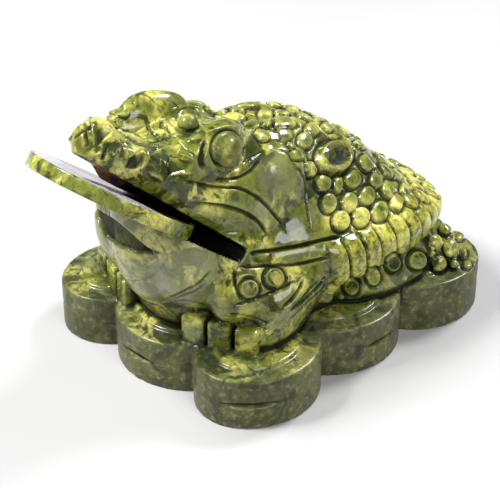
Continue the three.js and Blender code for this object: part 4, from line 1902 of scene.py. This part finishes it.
@dataclass(frozen=True)
class Cloud:
    """One noise of the stone, and the values between which it becomes a mask."""

    scale: float
    detail: float
    warp: float
    step: tuple | None = None


CLOUDS = {
    "Pale": Cloud(1.0, 6.0, 0.6, (0.44, 0.60)),
    "Dark": Cloud(2.3, 5.0, 0.9, (0.48, 0.57)),
    "Grey": Cloud(0.7, 3.0, 0.3, (0.52, 0.64)),
    "Vein": Cloud(1.7, 8.0, 1.6, (0.03, 0.0)),
    "Fine": Cloud(9.0, 4.0, 0.2),
}

Socket = bpy.types.NodeSocket


class Nodes:
    """A short hand for placing and linking shader nodes."""

    def __init__(self, tree: bpy.types.NodeTree) -> None:
        """Args:
            tree: The node tree to build in.
        """
        self.tree = tree

    def add(self, kind: str, inputs: dict | None = None, **settings: object) -> bpy.types.Node:
        """Places a node.

        Args:
            kind: The node's type name.
            inputs: Values or sockets for its inputs, by name or number.
            settings: Properties of the node.

        Returns:
            The node.
        """
        node = self.tree.nodes.new(kind)
        for name, value in settings.items():
            setattr(node, name, value)
        self.fill(node, inputs or {})
        return node

    def fill(self, node: bpy.types.Node, inputs: dict) -> None:
        """Links or sets some inputs of a node.

        Args:
            node: The node.
            inputs: Values or sockets for its inputs, by name or number.
        """
        for name, value in inputs.items():
            if isinstance(value, Socket):
                self.tree.links.new(value, node.inputs[name])
            else:
                node.inputs[name].default_value = value

    def noise(self, vector: Socket, scale: float, detail: float, warp: float = 0.0) -> Socket:
        """Places a noise.

        Args:
            vector: Where it is read.
            scale: How fine it is.
            detail: How many finer layers it has.
            warp: How far it is distorted.

        Returns:
            Its value.
        """
        node = self.add("ShaderNodeTexNoise", {
            "Vector": vector, "Scale": scale, "Detail": detail, "Roughness": 0.6, "Distortion": warp,
        })
        return node.outputs["Fac"]

    def step(
        self, value: Socket, low: float, high: float, to_low: float = 0.0, to_high: float = 1.0
    ) -> Socket:
        """Places a smooth step.

        Args:
            value: What is stepped.
            low: The value at which it begins.
            high: The value at which it is done.
            to_low: What it gives at low.
            to_high: What it gives at high.

        Returns:
            The stepped value.
        """
        node = self.add(
            "ShaderNodeMapRange",
            {"Value": value, "From Min": low, "From Max": high, "To Min": to_low, "To Max": to_high},
            interpolation_type="SMOOTHSTEP",
        )
        return node.outputs["Result"]

    def math(self, operation: str, a: Socket | float, b: Socket | float = 0.0) -> Socket:
        """Returns the result of a named operation on two values."""
        return self.add("ShaderNodeMath", {0: a, 1: b}, operation=operation).outputs["Value"]

    def times(self, a: Socket | float, b: Socket | float) -> Socket:
        """Returns the product of two values."""
        return self.math("MULTIPLY", a, b)

    def blend(
        self, mask: Socket | float, under: Socket | tuple, over: Socket | tuple, kind: str = "MIX"
    ) -> Socket:
        """Lays a colour over another.

        Args:
            mask: How much of it shows.
            under: The lower colour.
            over: The upper colour.
            kind: How they are blended.

        Returns:
            The blended colour.
        """
        inputs = {0: mask, 6: under, 7: over}
        return self.add("ShaderNodeMix", inputs, data_type="RGBA", blend_type=kind).outputs[2]

    def grey(self, value: Socket) -> Socket:
        """Returns a grey of the given value."""
        node = self.add("ShaderNodeCombineColor", {0: value, 1: value, 2: value})
        return node.outputs["Color"]

    def attribute(self, name: str) -> Socket:
        """Returns a named number of the mesh."""
        return self.add("ShaderNodeAttribute", attribute_name=name).outputs["Fac"]

    def object_place(self) -> Socket:
        """Returns the place on the object."""
        return self.add("ShaderNodeTexCoord").outputs["Object"]


def clouds_group() -> bpy.types.NodeTree:
    """Makes the group that gives the stone's clouds, specks and veins as masks.

    Returns:
        The node group.
    """
    tree = bpy.data.node_groups.new("serpentine clouds", "ShaderNodeTree")
    tree.interface.new_socket("Vector", in_out="INPUT", socket_type="NodeSocketVector")
    tree.interface.new_socket("Scale", in_out="INPUT", socket_type="NodeSocketFloat")
    for name in CLOUDS:
        tree.interface.new_socket(name, in_out="OUTPUT", socket_type="NodeSocketFloat")
    nodes = Nodes(tree)
    entry = nodes.add("NodeGroupInput").outputs
    leave = nodes.add("NodeGroupOutput")
    scaled = nodes.add(
        "ShaderNodeVectorMath", {0: entry["Vector"], "Scale": entry["Scale"]}, operation="SCALE"
    ).outputs["Vector"]
    for name, cloud in CLOUDS.items():
        value = nodes.noise(scaled, cloud.scale, cloud.detail, cloud.warp)
        if name == "Vein":
            value = nodes.math("ABSOLUTE", nodes.math("SUBTRACT", value, 0.5))
        if cloud.step is not None:
            value = nodes.step(value, *cloud.step)
        nodes.fill(leave, {name: value})
    return tree


class StoneMaterial:
    """Builds the polished stone of a piece in a material."""

    def __init__(self, name: str, finish: StoneFinish, clouds: bpy.types.NodeTree) -> None:
        """Args:
            name: The material's name.
            finish: Its colours and gloss.
            clouds: The group of stone masks.
        """
        self.finish = finish
        self.material, self.nodes, self.shader = blank_material(name)
        group = self.nodes.add("ShaderNodeGroup", node_tree=clouds)
        self.nodes.fill(group, {"Vector": self.nodes.object_place(), "Scale": finish.cloud_scale})
        self.masks = group.outputs

    def stone(self) -> Socket:
        """Mixes the clouds and veins of the stone.

        Returns:
            The stone's colour.
        """
        nodes, masks, finish = self.nodes, self.masks, self.finish
        colour = nodes.blend(masks["Pale"], finish.green, finish.pale)
        for name, share, over in (
            ("Grey", finish.grey_share, finish.grey),
            ("Dark", finish.deep_share, finish.deep),
            ("Vein", finish.vein_share, finish.dark),
        ):
            colour = nodes.blend(nodes.times(masks[name], share), colour, over)
        return colour

    def toned(self, colour: Socket) -> Socket:
        """Returns a colour with the stone's fine light and dark in it."""
        tone = self.nodes.step(self.masks["Fine"], *self.finish.tone_step)
        return self.nodes.blend(1.0, colour, self.nodes.grey(tone), "MULTIPLY")

    def toad_places(self, colour: Socket) -> Socket:
        """Lays the ashen clouds, the yellow belt and the dull plinth over the stone.

        Args:
            colour: The stone's colour.

        Returns:
            The colour with these places in it.
        """
        nodes, masks, finish = self.nodes, self.masks, self.finish
        veiled = nodes.step(masks["Fine"], *finish.veil_step)
        ashen = nodes.times(nodes.attribute("ashen"), veiled)
        colour = nodes.blend(ashen, colour, finish.grey)
        belt = nodes.times(nodes.attribute("belt"), nodes.step(masks["Fine"], *finish.belt_step))
        colour = nodes.blend(nodes.times(belt, finish.belt_share), colour, finish.yellow)
        specks = nodes.step(masks["Fine"], *finish.speck_step)
        mottled = nodes.blend(specks, finish.plinth, finish.speck)
        darkened = nodes.times(masks["Dark"], finish.plinth_dark_share)
        mottled = nodes.blend(darkened, mottled, finish.dark)
        plinth = nodes.times(nodes.attribute("plinth"), finish.plinth_share)
        return nodes.blend(plinth, colour, mottled)

    def painted_light_and_slot(self, colour: Socket) -> tuple[Socket, Socket]:
        """Paints shade into hollows and valleys and under the belly, paints highlights on edges, and
        paints the slot black.

        Args:
            colour: The stone's colour.

        Returns:
            The new colour, and how dull the polish is.
        """
        nodes, finish = self.nodes, self.finish
        # painted shade in small hollows and grooves
        hollow = nodes.step(nodes.attribute("cavity"), *finish.hollow_step)
        hollow = nodes.math("MAXIMUM", hollow, nodes.attribute("groove"))
        # painted shade in wide hollows and the painted shadow under the belly
        valley = nodes.step(nodes.attribute("valley"), *finish.valley_step)
        colour = nodes.blend(nodes.times(valley, finish.valley_share), colour, finish.dark)
        colour = nodes.blend(nodes.times(hollow, finish.hollow_share), colour, finish.dark)
        # painted highlights on edges, weaker on the plinth
        edge = nodes.step(nodes.attribute("cavity"), *finish.edge_step)
        edge = nodes.times(edge, nodes.step(nodes.attribute("plinth"), *finish.edge_share_step))
        colour = nodes.blend(edge, colour, finish.pale)
        sawn = nodes.times(nodes.attribute("plinth"), finish.sawn)
        dull = nodes.math("MAXIMUM", nodes.math("MAXIMUM", hollow, valley), sawn)
        return nodes.blend(nodes.attribute("paint"), colour, finish.paint), dull

    def polish(self, colour: Socket, dull: Socket | None) -> bpy.types.Material:
        """Joins the colour and the gloss in the shader.

        Args:
            colour: The finished colour.
            dull: How dull the polish is, or None where it is even.

        Returns:
            The material.
        """
        nodes, finish = self.nodes, self.finish
        fine = self.masks["Fine"]
        low, high = (finish.roughness + spread for spread in finish.roughness_spread)
        rough = nodes.step(fine, *finish.rough_step, low, high)
        coat = finish.coat
        if dull is not None:
            rough = nodes.math("ADD", rough, nodes.times(dull, finish.dullness))
            coat = nodes.step(dull, 0.0, finish.coat_end, finish.coat, 0.0)
        grain = {"Height": fine, "Strength": finish.grain, "Distance": finish.grain_depth}
        nodes.fill(self.shader, {
            "Base Color": colour,
            "Roughness": rough,
            "Coat Weight": coat,
            "Coat Roughness": finish.coat_roughness,
            "Specular IOR Level": finish.specular,
            "Normal": nodes.add("ShaderNodeBump", grain).outputs["Normal"],
        })
        return self.material

    def for_toad(self) -> bpy.types.Material:
        """Returns the material of the toad."""
        colour, dull = self.painted_light_and_slot(self.toned(self.toad_places(self.stone())))
        return self.polish(colour, dull)

    def for_coin(self, printed: PrintFinish) -> bpy.types.Material:
        """Returns the material of the coin with its print."""
        return self.polish(self.print_colour(self.toned(self.stone()), printed), None)

    def print_colour(self, stone: Socket, printed: PrintFinish) -> Socket:
        """Lays bands of print over the coin's face, painted black as shade towards the mouth.

        Args:
            stone: The stone's colour.
            printed: The print.

        Returns:
            The colour of stone and print.
        """
        nodes = self.nodes
        face = nodes.add("ShaderNodeUVMap", uv_map="face").outputs["UV"]
        centring = {"Vector": face, "Location": (-0.5, -0.5, 0.0)}
        centred = nodes.add("ShaderNodeMapping", centring).outputs["Vector"]
        radius = nodes.add("ShaderNodeVectorMath", {0: centred}, operation="LENGTH").outputs["Value"]
        turning = nodes.math("ADD", nodes.noise(centred, *printed.swirl), radius)
        ramp = nodes.add("ShaderNodeValToRGB", {"Fac": nodes.math("FRACT", turning)})
        elements = ramp.color_ramp.elements
        elements[0].color = printed.bands[0][1]
        elements[1].color = printed.bands[-1][1]
        for place, colour in printed.bands[1:-1]:
            elements.new(place).color = colour
        mask = nodes.times(nodes.step(radius, *printed.rim), nodes.attribute("print"))
        # painted shade: the face goes black towards the back, under the snout
        back = nodes.add("ShaderNodeSeparateXYZ", {0: centred}).outputs["Y"]
        shaded = nodes.step(back, *printed.black_from)
        return nodes.blend(mask, stone, nodes.blend(shaded, ramp.outputs["Color"], printed.black))


def blank_material(name: str) -> tuple[bpy.types.Material, Nodes, bpy.types.Node]:
    """Makes a material.

    Args:
        name: Its name.

    Returns:
        The material, its nodes and its shader.
    """
    material = bpy.data.materials.new(name)
    material.use_nodes = True
    return material, Nodes(material.node_tree), material.node_tree.nodes["Principled BSDF"]


@dataclass(frozen=True)
class Lamp:
    """A square soft light that faces the toad: its place and edge in metres, and its watts."""

    name: str
    place: tuple
    size: float
    power: float

    def build(self, aim: Vector) -> None:
        """Hangs the light.

        Args:
            aim: The place that it faces.
        """
        data = bpy.data.lights.new(self.name, "AREA")
        data.size = self.size
        data.energy = self.power
        lamp = bpy.data.objects.new(self.name, data)
        turn = (aim - Vector(self.place)).to_track_quat("-Z", "Y").to_matrix().to_4x4()
        lamp.matrix_world = Matrix.Translation(self.place) @ turn
        bpy.context.scene.collection.objects.link(lamp)


@dataclass
class Studio:
    """The pale floor and the soft lights round the toad."""

    floor_size: float = 14.0
    floor_drop: float = 0.0005
    floor_tone: tuple = (0.40, 0.43)
    floor_roughness: float = 0.6
    floor_glow: float = 0.05
    sky: tuple = (0.97, 0.98, 1.0, 1.0)
    sky_strength: float = 0.2
    aim: tuple = (0.0, -0.02, 0.08)
    lamps: tuple = (
        Lamp("key", (-0.7, -0.9, 1.5), 0.6, 62.0),
        Lamp("fill", (1.5, -0.4, 1.1), 0.8, 19.0),
        Lamp("back", (0.1, 1.3, 1.5), 0.6, 38.0),
    )

    def floor(self) -> None:
        """Lays the floor and keeps it out of the part."""
        bm = bmesh.new()
        bmesh.ops.create_grid(bm, x_segments=1, y_segments=1, size=self.floor_size / 2)
        floor = finished_bmesh(bm, "pale_floor")
        floor.location.z = -self.floor_drop
        material, nodes, shader = blank_material("pale floor")
        tone = nodes.step(nodes.noise(nodes.object_place(), 3.0, 2.0), 0.3, 0.7, *self.floor_tone)
        nodes.fill(shader, {
            "Base Color": nodes.grey(tone),
            "Roughness": self.floor_roughness,
            "Emission Color": (1.0, 1.0, 1.0, 1.0),
            "Emission Strength": self.floor_glow,
        })
        floor.data.materials.append(material)
        floor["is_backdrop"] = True

    def build(self) -> None:
        """Builds the floor, the world and the lights."""
        self.floor()
        world = bpy.data.worlds.new("studio")
        bpy.context.scene.world = world
        world.use_nodes = True
        background = world.node_tree.nodes["Background"]
        background.inputs["Color"].default_value = self.sky
        background.inputs["Strength"].default_value = self.sky_strength
        for lamp in self.lamps:
            lamp.build(Vector(self.aim))
        bpy.context.scene.view_settings.view_transform = "Standard"


def main() -> None:
    """Builds the pieces in order, dresses them and sets them on the frame."""
    logging.basicConfig(level=logging.INFO, format="%(name)s: %(message)s")
    CAMERA.build()
    Studio().build()
    clouds = clouds_group()
    toad = ToadFigure().build()
    toad.data.materials.clear()
    toad.data.materials.append(StoneMaterial("toad serpentine", StoneFinish(), clouds).for_toad())
    coin = Coin().build()
    coin_finish = StoneFinish(grey=(0.20, 0.21, 0.05, 1.0), roughness=0.25)
    coin_stone = StoneMaterial("coin serpentine", coin_finish, clouds)
    coin.data.materials.append(coin_stone.for_coin(PrintFinish()))
    for piece, node, slot in ((toad, "toad", "toad_stone"), (coin, "coin", "coin_stone")):
        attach(piece, "root")
        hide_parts(node)
        LOG.info("%s: %d faces", piece.name, len(piece.data.polygons))
    boxes = [[list(map(float, corner)) for corner in box] for box in (CAD_BOX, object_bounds())]


if __name__ == "__main__":
    main()
